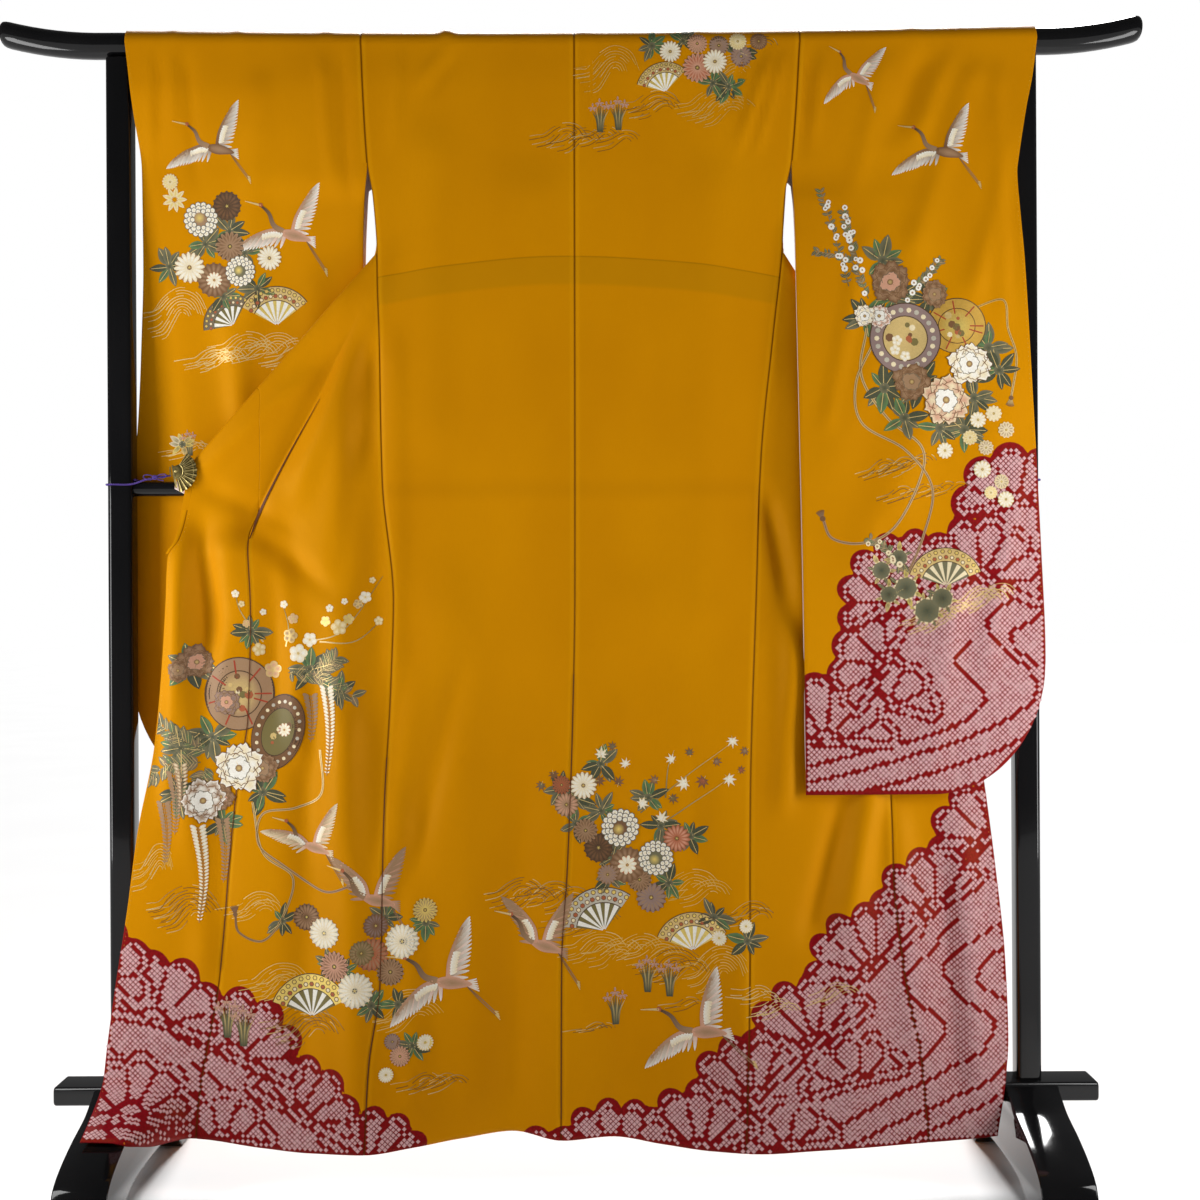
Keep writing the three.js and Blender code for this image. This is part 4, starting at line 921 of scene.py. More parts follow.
def chrysanthemum(brush, radius, petal, tip, heart="gold", back="brown", petals=18, double=False):
    brush.disc(0, 0, radius * 0.93, back, layer=0, sides=24, rings=2)
    if double:  # a ball of small round petals, each with a dark rim
        for ring, (far, wide, count) in enumerate(((0.88, 0.19, 17), (0.68, 0.19, 14), (0.5, 0.17, 10))):
            for k in range(count):
                angle = 2 * math.pi * (k + ring / 2) / count
                x, z = radius * far * math.cos(angle), radius * far * math.sin(angle)
                brush.disc(x, z, radius * wide, "ash", layer=ring * 2 + 1, sides=7)
                brush.disc(x, z, radius * (wide - 0.045), petal, tip, ring * 2 + 2, 7)
        brush.disc(0, radius * 0.12, radius * 0.34, heart, back, 7, 10)
        return
    for k in range(petals):
        angle = 2 * math.pi * k / petals
        brush.petal(angle, radius * 0.16, radius, radius * 4.6 / petals, petal, tip, 1)
    brush.disc(0, 0, radius * 0.15, heart, back, 2, 9)
    for k in range(5):
        turn = 2 * math.pi * k / 5
        x, z = radius * 0.1 * math.cos(turn), radius * 0.1 * math.sin(turn)
        brush.disc(x, z, radius * 0.04, "darkBrown", layer=3, sides=5)


def peony(brush, radius, outer, edge, inner, seed):
    chance = np.random.default_rng(seed)
    circles = ((1, 0.7, 9, edge, outer), (0.78, 0.62, 7, outer, edge), (0.5, 0.5, 5, inner, inner))
    for ring, (far, wide, count, ink, rim) in enumerate(circles):
        for k in range(count):
            angle = 2 * math.pi * (k + 0.5 * ring + chance.uniform(-0.16, 0.16)) / count
            reach = radius * far * chance.uniform(0.86, 1.08)
            t = np.linspace(-1, 1, 9)
            frill = 1 + 0.07 * np.cos(t * 9 + k)
            x = reach * (0.35 + 0.65 * np.sqrt(np.maximum(0, 1 - (t * 0.92) ** 2))) * frill
            outline = np.concatenate([[[radius * 0.05, 0]], np.stack([x, radius * wide * 0.55 * t], axis=1)])
            c, s = math.cos(angle), math.sin(angle)
            turned = outline @ np.array([[c, s], [-s, c]])
            brush.blob(turned, rim, ink, ring * 2, 2)
            brush.line(turned[1:], radius * 0.03, "ash" if ring == 2 else "brown", layer=ring * 2 + 1)
    brush.disc(0, 0, radius * 0.15, "paleGold", "brown", 7, 10)


def plumBlossom(brush, radius, ink, rim):
    for k in range(5):
        angle = 2 * math.pi * k / 5 + 0.3
        x, z = radius * 0.55 * math.cos(angle), radius * 0.55 * math.sin(angle)
        brush.disc(x, z, radius * 0.46, ink, rim, 1, 10)
    brush.disc(0, 0, radius * 0.16, "paleGold", layer=2, sides=6)


def leaf(brush, x, z, length, turn, ink="leaf", tip="greyLeaf", wide=0.42, layer=0):
    t = np.linspace(0, 1, 7)
    half = wide * length / 2 * np.sin(np.pi * t ** 0.85) ** 0.8
    outline = np.concatenate([np.stack([t * length, half], axis=1),
                              np.stack([t[::-1] * length, -half[::-1]], axis=1)[1:-1]])
    c, s = math.cos(math.radians(turn)), math.sin(math.radians(turn))
    spin = np.array([[c, s], [-s, c]])
    brush.blob(outline @ spin + [x, z], ink, tip, layer, 1, np.array([0.3 * length, 0]) @ spin + [x, z])
    brush.line(np.array([[0, 0], [length * 0.9, 0]]) @ spin + [x, z], length * 0.03, "paleGold",
               layer=layer + 1)


def leafBunch(brush, count, radius, length, seed, tips=("leaf", "greyLeaf", "green")):
    chance = np.random.default_rng(seed)
    for k in range(count):
        turn = 360 * (k + chance.uniform(-0.3, 0.3)) / count
        c, s = math.cos(math.radians(turn)), math.sin(math.radians(turn))
        tip = tips[int(chance.integers(len(tips)))]
        leaf(brush, radius * c, radius * s, length * chance.uniform(0.75, 1.25),
             turn + chance.uniform(-22, 22), "leaf",
             tip, chance.uniform(0.38, 0.52), 2 * (k % 2))
    brush.disc(0, 0, radius + length * 0.14, "leaf", "greyLeaf", layer=3, sides=8)


def mapleLeaf(brush, radius, ink, rim):
    outline = []
    for k in range(7):
        reach = 1.25 * radius * (1 - 0.09 * abs(k - 3) ** 1.3)
        for share, far in ((0, 1), (0.5, 0.46)):
            angle = math.radians(90 + (k + share - 3) * 42)
            outline.append((reach * far * math.cos(angle), reach * far * math.sin(angle)))
    brush.blob(outline, ink, rim, 0, 1, (0, 0))
    brush.line([(0, 0), (0, -radius * 0.7)], radius * 0.07, "paleGold")


def crane(brush, size, body="taupe", feather="white", tail="brown", raised=0):
    # flying left, its near wing raised by an angle
    near = np.array([(-0.10, 0.04), (-0.30, 0.07), (-0.52, 0.0), (-0.72, -0.12)])
    c, s = math.cos(math.radians(raised)), math.sin(math.radians(raised))
    near = (near - near[0]) @ np.array([[c, -s], [s, c]]) + near[0]
    far = [(0.0, 0.06), (0.05, 0.24), (0.15, 0.42), (0.29, 0.60)]
    for bone, first, last, layer in ((far, -88, -6, 1), (near, 80, 8, 3)):
        bone = flow(bone, 17)
        for k in range(16):  # long feathers, turned less towards the tip of the wing
            share = k / 15
            ahead = bone[k + 1] - bone[k]
            turn = math.atan2(ahead[1], ahead[0]) + math.radians(lerp(first, last, share ** 0.8))
            length = 0.15 + 0.14 * math.sin(math.pi * (0.2 + 0.7 * share))
            tip = bone[k] + length * np.array([math.cos(turn), math.sin(turn)])
            brush.line(np.array([bone[k], lerp(bone[k], tip, 0.4), lerp(bone[k], tip, 0.8), tip]) * size,
                       np.array([0.052, 0.05, 0.034, 0.008]) * size, body if k % 2 else tail, feather,
                       layer + k % 2)
        brush.line(bone * size, np.linspace(0.06, 0.02, 17) * size, tail, body, layer + 2)
        for k in range(1, 9):  # small white feathers over the shoulder
            ahead = bone[k + 1] - bone[k]
            turn = math.atan2(ahead[1], ahead[0]) + math.radians(lerp(first, last, 0.25))
            way = np.array([math.cos(turn), math.sin(turn)])
            brush.line(np.array([bone[k] + 0.02 * way, bone[k] + 0.065 * way, bone[k] + 0.11 * way]) * size,
                       np.array([0.03, 0.042, 0.018]) * size, "white", "cream", layer + 3)
    outline = flow([(-0.22, 0.06), (-0.05, 0.08), (0.12, 0.03), (0.26, -0.08), (0.12, -0.09), (-0.06, -0.06),
                    (-0.22, 0.06)], 22)
    brush.blob(outline[:-1] * size, body, tail, 5, 2)
    brush.line(flow([(-0.14, 0.05), (-0.27, 0.14), (-0.33, 0.30), (-0.44, 0.41)], 14) * size,
               np.linspace(0.085, 0.03, 14) * size, body, "darkBrown", 6)
    brush.line(np.array([(-0.44, 0.41), (-0.66, 0.47)]) * size, [0.032 * size, 0.008 * size], "paleGold",
               layer=7)
    brush.disc(-0.44 * size, 0.415 * size, 0.03 * size, "rust", layer=7, sides=8)
    for k in range(6):
        brush.line(np.array([(0.16, -0.04), (0.32, lerp(-0.03, -0.18, k / 5))]) * size,
                   [0.04 * size, 0.012 * size], tail, feather, 4)
    for dz in (0.0, 0.04):
        brush.line(flow([(0.18, -0.07), (0.30, -0.24 - dz), (0.44, -0.46 - dz)], 8) * size, 0.010 * size,
                   "brown", "taupe", 4)
        for toe in (-0.03, 0, 0.03):
            brush.line(np.array([(0.44, -0.46 - dz), (0.48, -0.51 - dz + toe)]) * size, 0.01 * size,
                       "paleGold", layer=4)


def foldingFan(brush, radius, opening, leafInk, bandInk, ribInk="white"):  # pivot at (0, 0), opening upwards
    ribs = 6
    start = 90 - opening / 2
    turn = np.radians(np.linspace(start, start + opening, 28))
    for near, far, ink, layer in ((0.12, 0.66, leafInk, 0), (0.64, 1.0, bandInk, 1)):
        a = np.stack([near * np.cos(turn), near * np.sin(turn)], axis=1) * radius
        b = np.stack([far * np.cos(turn), far * np.sin(turn)], axis=1) * radius
        k = np.arange(27)
        faces = np.concatenate([np.stack([k, k + 28, k + 29], axis=1), np.stack([k, k + 29, k + 1], axis=1)])
        for p, q in ((a, (a + b) / 2), ((a + b) / 2, b)):
            brush.add(np.concatenate([p, q]), faces, np.tile(inks[ink], (56, 1)), layer)
    for k in range(ribs):
        angle = math.radians(start + opening * (k + 0.5) / ribs)
        spot = np.array([math.cos(angle), math.sin(angle)]) * radius
        brush.line(np.outer([0.04, 0.3, 0.65], spot), np.array([0.015, 0.06, 0.12]) * radius, ribInk, layer=2)
    for k in range(ribs * 4):
        angle = math.radians(start + opening * (k + 0.5) / ribs / 4)
        far = radius * (0.75 if k % 2 else 0.9)
        for wide, ink in ((0.062, "brown"), (0.042, ("gold", "cream", "gold", "rust")[k % 4])):
            brush.disc(far * math.cos(angle), far * math.sin(angle), radius * wide, ink,
                       layer=3 + (wide < 0.05), sides=6)
    for far in (0.64, 0.99):
        brush.line(np.stack([far * np.cos(turn), far * np.sin(turn)], axis=1) * radius, radius * 0.022,
                   "darkBrown", layer=3)


def waveHill(brush, width, height, lines, ink):  # arched lines, their feet drawn out to one side
    chance = np.random.default_rng(int(width + 7 * height))
    hills = max(1, round(width / (1.7 * height)))
    for k in range(hills):
        radius = height * (chance.uniform(0.75, 1) if k else 1)
        reach = min(1.3, 0.42 * width / radius)
        side = 0.5 * width - radius * reach
        middle = np.array([lerp(-side, side, (k + 0.5) / hills), -0.3 * height * (k % 2)])
        for row in range(min(lines, int(radius / painting["waveLine"]))):
            size = radius - painting["waveLine"] * row
            t = np.radians(np.linspace(chance.uniform(2, 38), chance.uniform(150, 176), 12))
            arch = middle + size * np.stack([reach * np.cos(t), np.sin(t)], axis=1)
            foot = [arch[-1] + np.array([-far, -0.16 * far - 3.4 * row * min(1, far / 20)])
                    for far in (7, 18, chance.uniform(24, 40))]
            path = flow(np.concatenate([arch[::3], foot]), 22)
            cut = chance.integers(5, 17)  # each line is broken once
            for part in (path[:cut], path[cut + 1:]):
                if len(part) > 2:
                    brush.line(part, chance.uniform(0.7, 1.25), ink, "paleGold" if row % 2 == 0 else ink,
                               row % 2)


def irisPlant(brush, height):
    for k in range(9):
        lean = (k - 4) / 4
        stem = flow([(lean * 0.07, 0), (lean * 0.12, 0.4), (lean * 0.27, 0.92 - 0.22 * abs(lean))], 7)
        brush.line(stem * height, np.array([0.04, 0.048, 0.046, 0.042, 0.034, 0.022, 0.004]) * height,
                   "leaf", ("olive", "greyLeaf", "paleGold")[k % 3], k % 3)
    for x, z in ((-0.24, 0.80), (-0.02, 0.94), (0.2, 0.84)):
        for turn in (190, 235, 305, 350, 90):
            angle = math.radians(turn)
            outline = np.array([(0, 0), (0.07, 0.032), (0.13, 0.02), (0.15, 0), (0.13, -0.02),
                                (0.07, -0.032)])
            c, s = math.cos(angle), math.sin(angle)
            turned = outline * height @ np.array([[c, s], [-s, c]])
            brush.blob(turned + np.array([x, z]) * height, "mauve", "rose", 3, 1)


def wisteria(brush, length, ink="white", rim="cream"):  # petals in pairs, like the barbs of a feather
    count = max(6, int(length / 5.0))
    turn = np.linspace(0, 2 * math.pi, 7, endpoint=False)
    for k in range(count):
        t = k / count
        sway = 0.05 * length * math.sin(t * 3)
        size = lerp(5.6, 1.9, t)
        for sign in (-1, 1):
            along, across = size * np.cos(turn), size * 0.5 * np.sin(turn)
            outline = np.stack([sway + sign * (size * 1.12 + 0.86 * along - 0.5 * across),
                                -t * length + 0.5 * along + 0.86 * across], axis=1)
            brush.blob(outline[::sign], ink, rim, 1, 1)
    z = np.linspace(0, -length, 12)
    brush.line(np.stack([0.05 * length * np.sin(-z / length * 3), z], axis=1), 0.7, "taupe", layer=2)


def clover(brush, path, seed=0, flowerInk="white", small=7, large=11, flowers=0.4):
    # an arching spray with paired leaves
    chance = np.random.default_rng(seed)
    line = flow(path, 22)
    brush.line(line, np.linspace(1.6, 0.8, 22), "olive", "taupe", 0)
    for k in range(1, 22):
        ahead = line[k] - line[k - 1]
        turn = math.degrees(math.atan2(ahead[1], ahead[0]))
        for sign in (-1, 1):
            if chance.random() < 0.75:
                ink = ("leaf", "greyLeaf", "green", "taupe")[int(chance.integers(4))]
                leaf(brush, *line[k], chance.uniform(small, large), turn + sign * chance.uniform(35, 70),
                     ink, "greyLeaf", 0.5, 1)
        if chance.random() < flowers:
            x, z = line[k] + chance.uniform(-7, 7, 2)
            for wide, colour in ((1.0, flowerInk), (0.35, "taupe")):
                brush.disc(x, z, wide * chance.uniform(3.4, 5.0), colour, layer=4 + (wide < 1), sides=8)


def drum(brush, radius, tall, ringInk, faceInk, laced=False):
    brush.disc(0, 0, radius * 1.03, "darkBrown", layer=0, sides=40, rings=3, tall=tall)
    brush.disc(0, 0, radius, ringInk, layer=1, sides=40, rings=4, tall=tall)
    brush.disc(0, 0, radius * 0.66, "darkBrown", layer=2, sides=32, rings=3, tall=tall)
    brush.disc(0, 0, radius * 0.63, faceInk, ringInk if laced else None, layer=3, sides=32, rings=3,
               tall=tall)
    for k in range(22):
        turn = 2 * math.pi * k / 22
        x, z = 0.82 * radius * math.cos(turn), 0.82 * radius * tall * math.sin(turn)
        if laced:
            if k % 3 == 0:
                brush.line([(x * 0.55, z * 0.55), (x * 1.15, z * 1.15)], radius * 0.045, "red", layer=5)
        else:
            brush.disc(x, z, radius * 0.075, "cream" if k % 2 else "silver", layer=4, sides=7)
    chance = np.random.default_rng(int(radius))
    for k in range(9):
        turn, far = chance.uniform(0, 2 * math.pi), chance.uniform(0, 0.5) * radius
        ink = ("rust", "olive", "paleGold", "brown", "cream")[k % 5]
        brush.disc(far * math.cos(turn), far * tall * math.sin(turn), radius * chance.uniform(0.06, 0.14),
                   ink, layer=5, sides=7)


def cordLoop(brush, path, width, start="paleGold", stop="taupe"):  # a painted cord that ends in a tassel
    line = flow(path, max(24, 8 * len(path)))
    brush.line(line, width, start, stop, 1)
    brush.line(line, width * 0.25, "brown", layer=2)
    ahead = line[-1] - line[-3]
    angle = math.atan2(ahead[1], ahead[0])
    for k in range(7):
        turn = angle + (k - 3) * 0.16
        brush.line([line[-1], line[-1] + 13 * np.array([math.cos(turn), math.sin(turn)])], [2.2, 1.0], stop,
                   "brown", 2)
    brush.disc(*line[-1], width * 1.1, "brown", layer=3, sides=8)


# the tie-dyed fields

dyeing = {
    "pitch": 5.5,               # from one tied point to the next
    "padFoot": 3.8, "padTop": 2.45, "padHigh": 0.85, "uneven": 0.12,
    "border": 8.4, "row": 5.2, "gap": 4.4, "line": 2.6,
    "point": (0.74, 0.44, 0.455), "shade": (0.25, 0.07, 0.09),
    "layFrom": 640,             # below this height the net is laid by length along the cloth
    "fromSeam": 2.2, "fromHem": 3.5, "fromSleeveSeam": 3.5, "fromSleeveHem": 4.5, "besideSeam": 2.1,
    # flowers, seen as fans of petals: middle x and z, reach, petals, which way and how wide they open, middle
    "bodyFlowers": [
        (-712, 318, 100, 5, 66, 200, 0.24), (-620, 250, 112, 6, 74, 190, 0.24),
        (-505, 196, 112, 6, 66, 180, 0.24), (-405, 112, 98, 6, 64, 180, 0.24),
        (-300, 48, 92, 6, 70, 170, 0.24), (-640, 126, 90, 5, 84, 200, 0.26), (-520, 74, 88, 5, 84, 180, 0.26),
        (-40, 14, 88, 5, 106, 170, 0.24), (60, 30, 112, 7, 98, 170, 0.22), (180, 60, 106, 6, 104, 170, 0.24),
        (262, 140, 104, 6, 128, 180, 0.24), (350, 214, 112, 7, 120, 180, 0.22),
        (440, 322, 108, 7, 128, 180, 0.22), (530, 404, 104, 6, 122, 180, 0.24),
        (620, 510, 104, 6, 112, 180, 0.24), (306, 66, 88, 5, 100, 190, 0.26),
        (408, 158, 88, 5, 104, 190, 0.26),
    ],
    "bodyField": [(-740, 368), (-640, 322), (-540, 262), (-470, 205), (-400, 138), (-300, 84), (-225, 46),
                  (-205, 20), (-110, 10), (-40, 50), (60, 88), (200, 112), (262, 190), (352, 262), (440, 352),
                  (530, 432), (600, 520), (680, 580)],
    "bodyStreams": [
        [(680, 430), (618, 388), (566, 356), (540, 322), (572, 280), (612, 250), (590, 205), (520, 168),
         (452, 140), (380, 104), (300, 72), (220, 50)],
        [(680, 392), (640, 366), (600, 334), (590, 306), (640, 270), (652, 232), (622, 178), (556, 140),
         (480, 112), (400, 78), (330, 52)],
        [(560, 400), (520, 352), (480, 318), (500, 280), (540, 246), (520, 206), (462, 176), (400, 160)],
        [(680, 330), (650, 306), (672, 270)], [(680, 190), (620, 142), (552, 108), (470, 76), (420, 56)],
        [(-740, 262), (-700, 226), (-660, 204), (-690, 160), (-720, 140)],
        [(-740, 196), (-700, 176), (-668, 130), (-610, 96), (-540, 60)],
        [(-560, 196), (-520, 160), (-500, 120), (-510, 80)],
    ],
    "sleeveFlowers": [
        (650, 1000, 98, 5, 98, 190, 0.24), (596, 890, 104, 6, 64, 180, 0.24),
        (492, 862, 110, 7, 112, 190, 0.22), (462, 768, 94, 5, 152, 180, 0.26),
        (368, 652, 112, 6, 86, 180, 0.22), (452, 706, 88, 5, 84, 200, 0.26),
    ],
    "sleeveField": [(330, 724), (400, 752), (418, 800), (428, 868), (520, 930), (580, 968), (620, 1040),
                    (700, 1070)],
    "sleeveStreams": [
        [(700, 902), (650, 872), (606, 838), (620, 800), (664, 764), (676, 730), (640, 696), (570, 664),
         (480, 636), (400, 614), (330, 600)],
        [(700, 858), (668, 834), (640, 816), (650, 792), (700, 756)],
        [(580, 806), (556, 778), (584, 748), (600, 716), (566, 688), (500, 664), (430, 646), (330, 622)],
        [(700, 700), (640, 656), (560, 626), (470, 600), (420, 588)],
    ],
}


def flowerEdge(flower, x, z):  # how far inside the scalloped edge, how far out, and the place in petals
    cx, cz, reach, petals, way, opening, _ = flower
    away = np.hypot(x - cx, z - cz)
    turn = (np.degrees(np.arctan2(z - cz, x - cx)) - way + 180) % 360 - 180
    petal = (turn / opening + 0.5) * petals
    edge = reach * (0.82 + 0.18 * np.abs(np.sin(np.pi * petal)) ** 0.6)
    shut = (np.abs(turn) - opening / 2) / 180 * math.pi * away  # past the outermost petals
    return np.minimum(edge - away, -shut), away, petal


def zoneDepth(kind, x, z):  # above 0 inside the dyed field
    depth = (np.interp(x, *np.array(dyeing[kind + "Field"], float).T) - z) * 0.8
    for flower in dyeing[kind + "Flowers"]:
        depth = np.maximum(depth, flowerEdge(flower, x, z)[0])
    return depth


def nearLine(x, z, path):
    out = np.full(x.shape, 1e9)
    line = flow(path, 12 * len(path))
    for a, b in zip(line[:-1], line[1:]):
        step = b - a
        t = np.clip(((x - a[0]) * step[0] + (z - a[1]) * step[1]) / (step @ step), 0, 1)
        out = np.minimum(out, np.hypot(x - a[0] - t * step[0], z - a[1] - t * step[1]))
    return out


def laidHeight(x, s):  # height on the hanging cloth of a place on it measured by its length
    start = dyeing["layFrom"]
    z = np.arange(start, 40, -3.0)
    out = np.array(s, float)
    slot = np.round(x / 8)
    for value in np.unique(slot):
        depth = hangDepth(np.full(len(z), value * 8.0), z)
        length = start - np.concatenate([[0], np.cumsum(np.hypot(3, np.diff(depth)))])
        mine = (slot == value) & (s < start)
        out[mine] = np.interp(s[mine], length[::-1], z[::-1])
    return out


def tiedPoints(kind, low, high):  # places of the tied points, on a square net turned 45 degrees
    step = dyeing["pitch"] / math.sqrt(2)
    i, j = np.meshgrid(*[np.arange(math.ceil(a / step), b / step) for a, b in zip(low, high)])
    keep = (i + j) % 2 == 0
    x, z = i[keep] * step, j[keep] * step
    if kind == "body":
        z = laidHeight(x, z)
    depth = zoneDepth(kind, x, z)
    inside = depth > dyeing["border"]
    x, z, depth = x[inside], z[inside], depth[inside]
    left = np.ones(len(x), bool)
    covered = np.zeros(len(x), bool)
    first = dyeing["border"] + dyeing["row"]
    second = first + dyeing["gap"]
    for flower in dyeing[kind + "Flowers"]:
        edge, away, petal = flowerEdge(flower, x, z)
        mine = (edge > 0) & ~covered
        heart = flower[2] * flower[6]
        ring = (edge > first) & (edge < second)
        rim = (edge < 4.5) & (depth > edge + 4)
        side = np.abs(np.abs(petal - np.floor(petal)) - 0.5)
        fromSpoke = (0.5 - side) * away * math.radians(flower[5]) / flower[3]
        spoke = (fromSpoke < dyeing["line"]) & (edge > first) & (away > heart)
        tilt = ((x - flower[0]) * 0.8 + (z - flower[1]) * 0.6) / 26 + 0.2 * np.sin((z - flower[1]) / 12)
        knot = (away < heart + 3) & ((np.abs(away - heart) < 2.6) | (tilt % 1 < 0.2))
        left &= ~(mine & (ring | rim | spoke | knot))
        covered |= edge > 0
    left &= ~((depth > first) & (depth < second) & ~covered)
    for stream in dyeing[kind + "Streams"]:
        left &= covered | (nearLine(x, z, stream) > dyeing["line"])
    if kind == "body":
        for side in sides.values():
            for seam in (side["sideSeam"], side["okumiSeam"], centreSeam):
                left &= np.abs(x - seam(z)) > dyeing["besideSeam"]
    return x[left], z[left]


# where dye and dots lie on the hanging cloth

def bodyPlace(x, z, lift):  # on the back and the two drawn-out fronts
    rail = railHeight(x)
    low = np.minimum(z, rail)
    depth = hangDepth(x, low)
    slope = np.hypot(hangDepth(x + 1, low) - depth, hangDepth(x, low - 1) - depth)
    hanging = points(x, depth - (cloth["wall"] / 2 + lift) * np.hypot(1, slope), low)
    turn = np.degrees(np.maximum(z - rail, 0) / cloth["wrap"])
    over = onRail(x, turn, cloth["wrap"] + cloth["wall"] / 2 + lift)
    return np.where((z > rail)[..., None], over, hanging)


def bodyClamp(x, z):
    return np.clip(x, sides["left"]["frontEdge"](z) + 1.5, sides["right"]["frontEdge"](z) - 1.5), z


def sleeveInner(sleeve, z):
    return np.where(z >= cloth["armholeEnd"], sleeve["side"]["sideSeam"](z), sleeve["inner"](z))


def sleeveSpot(sleeve, x, z, lift, hidden=False):
    rail = railHeight(x)
    low = np.minimum(z, rail)
    outer = (sleeve["hiddenOuter"] if hidden and sleeve["hiddenOuter"] else sleeve["outer"])(low)
    inner = sleeveInner(sleeve, low)
    place = sleevePoint(sleeve, (x - inner) / (outer - inner), low, hidden)
    place[..., 1] += (1 if hidden else -1) * (cloth["wall"] / 2 + lift)
    turn = np.degrees(np.maximum(z - rail, 0) / cloth["wrap"])
    over = onRail(x, 180 - turn if hidden else turn, cloth["wrap"] + cloth["wall"] / 2 + lift)
    return np.where((z > rail)[..., None], over, place)


def sleeveClamp(sleeve, x, z):
    inner, outer = sleeveInner(sleeve, z), sleeve["outer"](z)
    low, high = np.minimum(inner, outer) + 1.5, np.maximum(inner, outer) - 1.5
    x = np.clip(x, low, high)
    return x, np.maximum(z, sleeveBottom(sleeve, x) + 2)


def sleeveCanvas(name, zone, hidden=False):
    sleeve = sleeves[name]
    return {"place": lambda x, z, lift: sleeveSpot(sleeve, x, z, lift, hidden),
            "clamp": lambda x, z: sleeveClamp(sleeve, x, z), "zone": zone, "towards": 1 if hidden else -1}


canvases = {
    "body": {"place": bodyPlace, "clamp": bodyClamp, "zone": "body", "towards": -1},
    "sleeveLeft": sleeveCanvas("left", None), "sleeveLeftRear": sleeveCanvas("left", None, True),
    "sleeveRight": sleeveCanvas("right", "sleeve"), "sleeveRightRear": sleeveCanvas("right", "sleeve", True),
}


def halved(spot, colours, lifts, faces, largest):  # every side longer than the limit is cut in two
    corners = spot[faces]
    long = np.linalg.norm(corners - np.roll(corners, -1, axis=1), axis=2) > largest
    count = long.sum(axis=1)
    turn = np.select([count == 1, count == 2], [long.argmax(axis=1), long.argmin(axis=1) + 1], 0)
    a, b, c = np.take_along_axis(faces, (turn[:, None] + np.arange(3)) % 3, axis=1).T
    k, n = len(spot), len(faces)
    ends = ((a, b), (b, c), (c, a))
    spot, colours, lifts = [np.concatenate([v, *[(v[i] + v[j]) / 2 for i, j in ends]])
                            for v in (spot, colours, lifts)]
    ab, bc, ca = (k + n * side + np.arange(n) for side in range(3))
    cuts = [[(a, b, c)], [(a, ab, c), (ab, b, c)], [(ab, b, bc), (a, ab, bc), (a, bc, c)],
            [(a, ab, ca), (ab, b, bc), (ca, bc, c), (ab, bc, ca)]]
    cut = [np.stack([v[count == sides] for v in three], axis=1)
           for sides in range(4) for three in cuts[sides]]
    return spot, colours, lifts, np.concatenate(cut), long.any()


def painted(name, brush, canvas):  # lays the brush's shapes on the cloth
    spot, faces, colours, lifts = (np.concatenate(v)
                                   for v in (brush.verts, brush.faces, brush.inks, brush.lifts))
    print(name, len(faces), "triangles drawn")
    more = True
    while more:  # large triangles are split, to follow the folds
        spot, colours, lifts, faces, more = halved(spot, colours, lifts, faces, painting["largest"])
        used, index = np.unique(faces, return_inverse=True)
        spot, colours, lifts, faces = spot[used], colours[used], lifts[used], index.reshape(-1, 3)
    x, z = canvas["clamp"](spot[:, 0], spot[:, 1])
    lift = painting["lift"] + lifts
    if canvas["zone"]:
        lift = lift + (dyeing["padHigh"] + 0.1) * smooth(zoneDepth(canvas["zone"], x, z) / 8)
    place = canvas["place"](x, z, lift)
    a, b, c = (place[faces[:, k]] for k in range(3))
    normal = np.cross(b - a, c - a)
    real = np.linalg.norm(normal, axis=1) > 1e-5
    faces, normal = faces[real], normal[real]
    back = normal[:, 1] * canvas["towards"] < 0
    faces[back] = faces[back][:, ::-1]
    used, index = np.unique(faces, return_inverse=True)
    meshPiece(name, place[used] * mm, index.reshape(-1, 3), [ink], values={"ink": colours[used]})
    print(name, len(faces), "triangles")


class Tree:  # one Geometry Nodes tree being written
    def __init__(self, name, sockets):
        self.group = bpy.data.node_groups.new(name, "GeometryNodeTree")
        self.group.interface.new_socket("Geometry", in_out="OUTPUT", socket_type="NodeSocketGeometry")
        self.group.interface.new_socket("Geometry", in_out="INPUT", socket_type="NodeSocketGeometry")
        for label, kind in sockets:
            self.group.interface.new_socket(label, in_out="INPUT", socket_type=kind)
        self.start = self.group.nodes.new("NodeGroupInput")
        self.end = self.group.nodes.new("NodeGroupOutput")

    def given(self, label):
        return self.start.outputs[label]

    def node(self, kind, settings=(), values=(), out=0):
        made = self.group.nodes.new(kind)
        for key, value in dict(settings).items():
            setattr(made, key, value)
        for key, value in dict(values).items():
            if isinstance(value, bpy.types.NodeSocket):
                self.group.links.new(value, made.inputs[key])
            else:
                made.inputs[key].default_value = value
        return made.outputs[out]


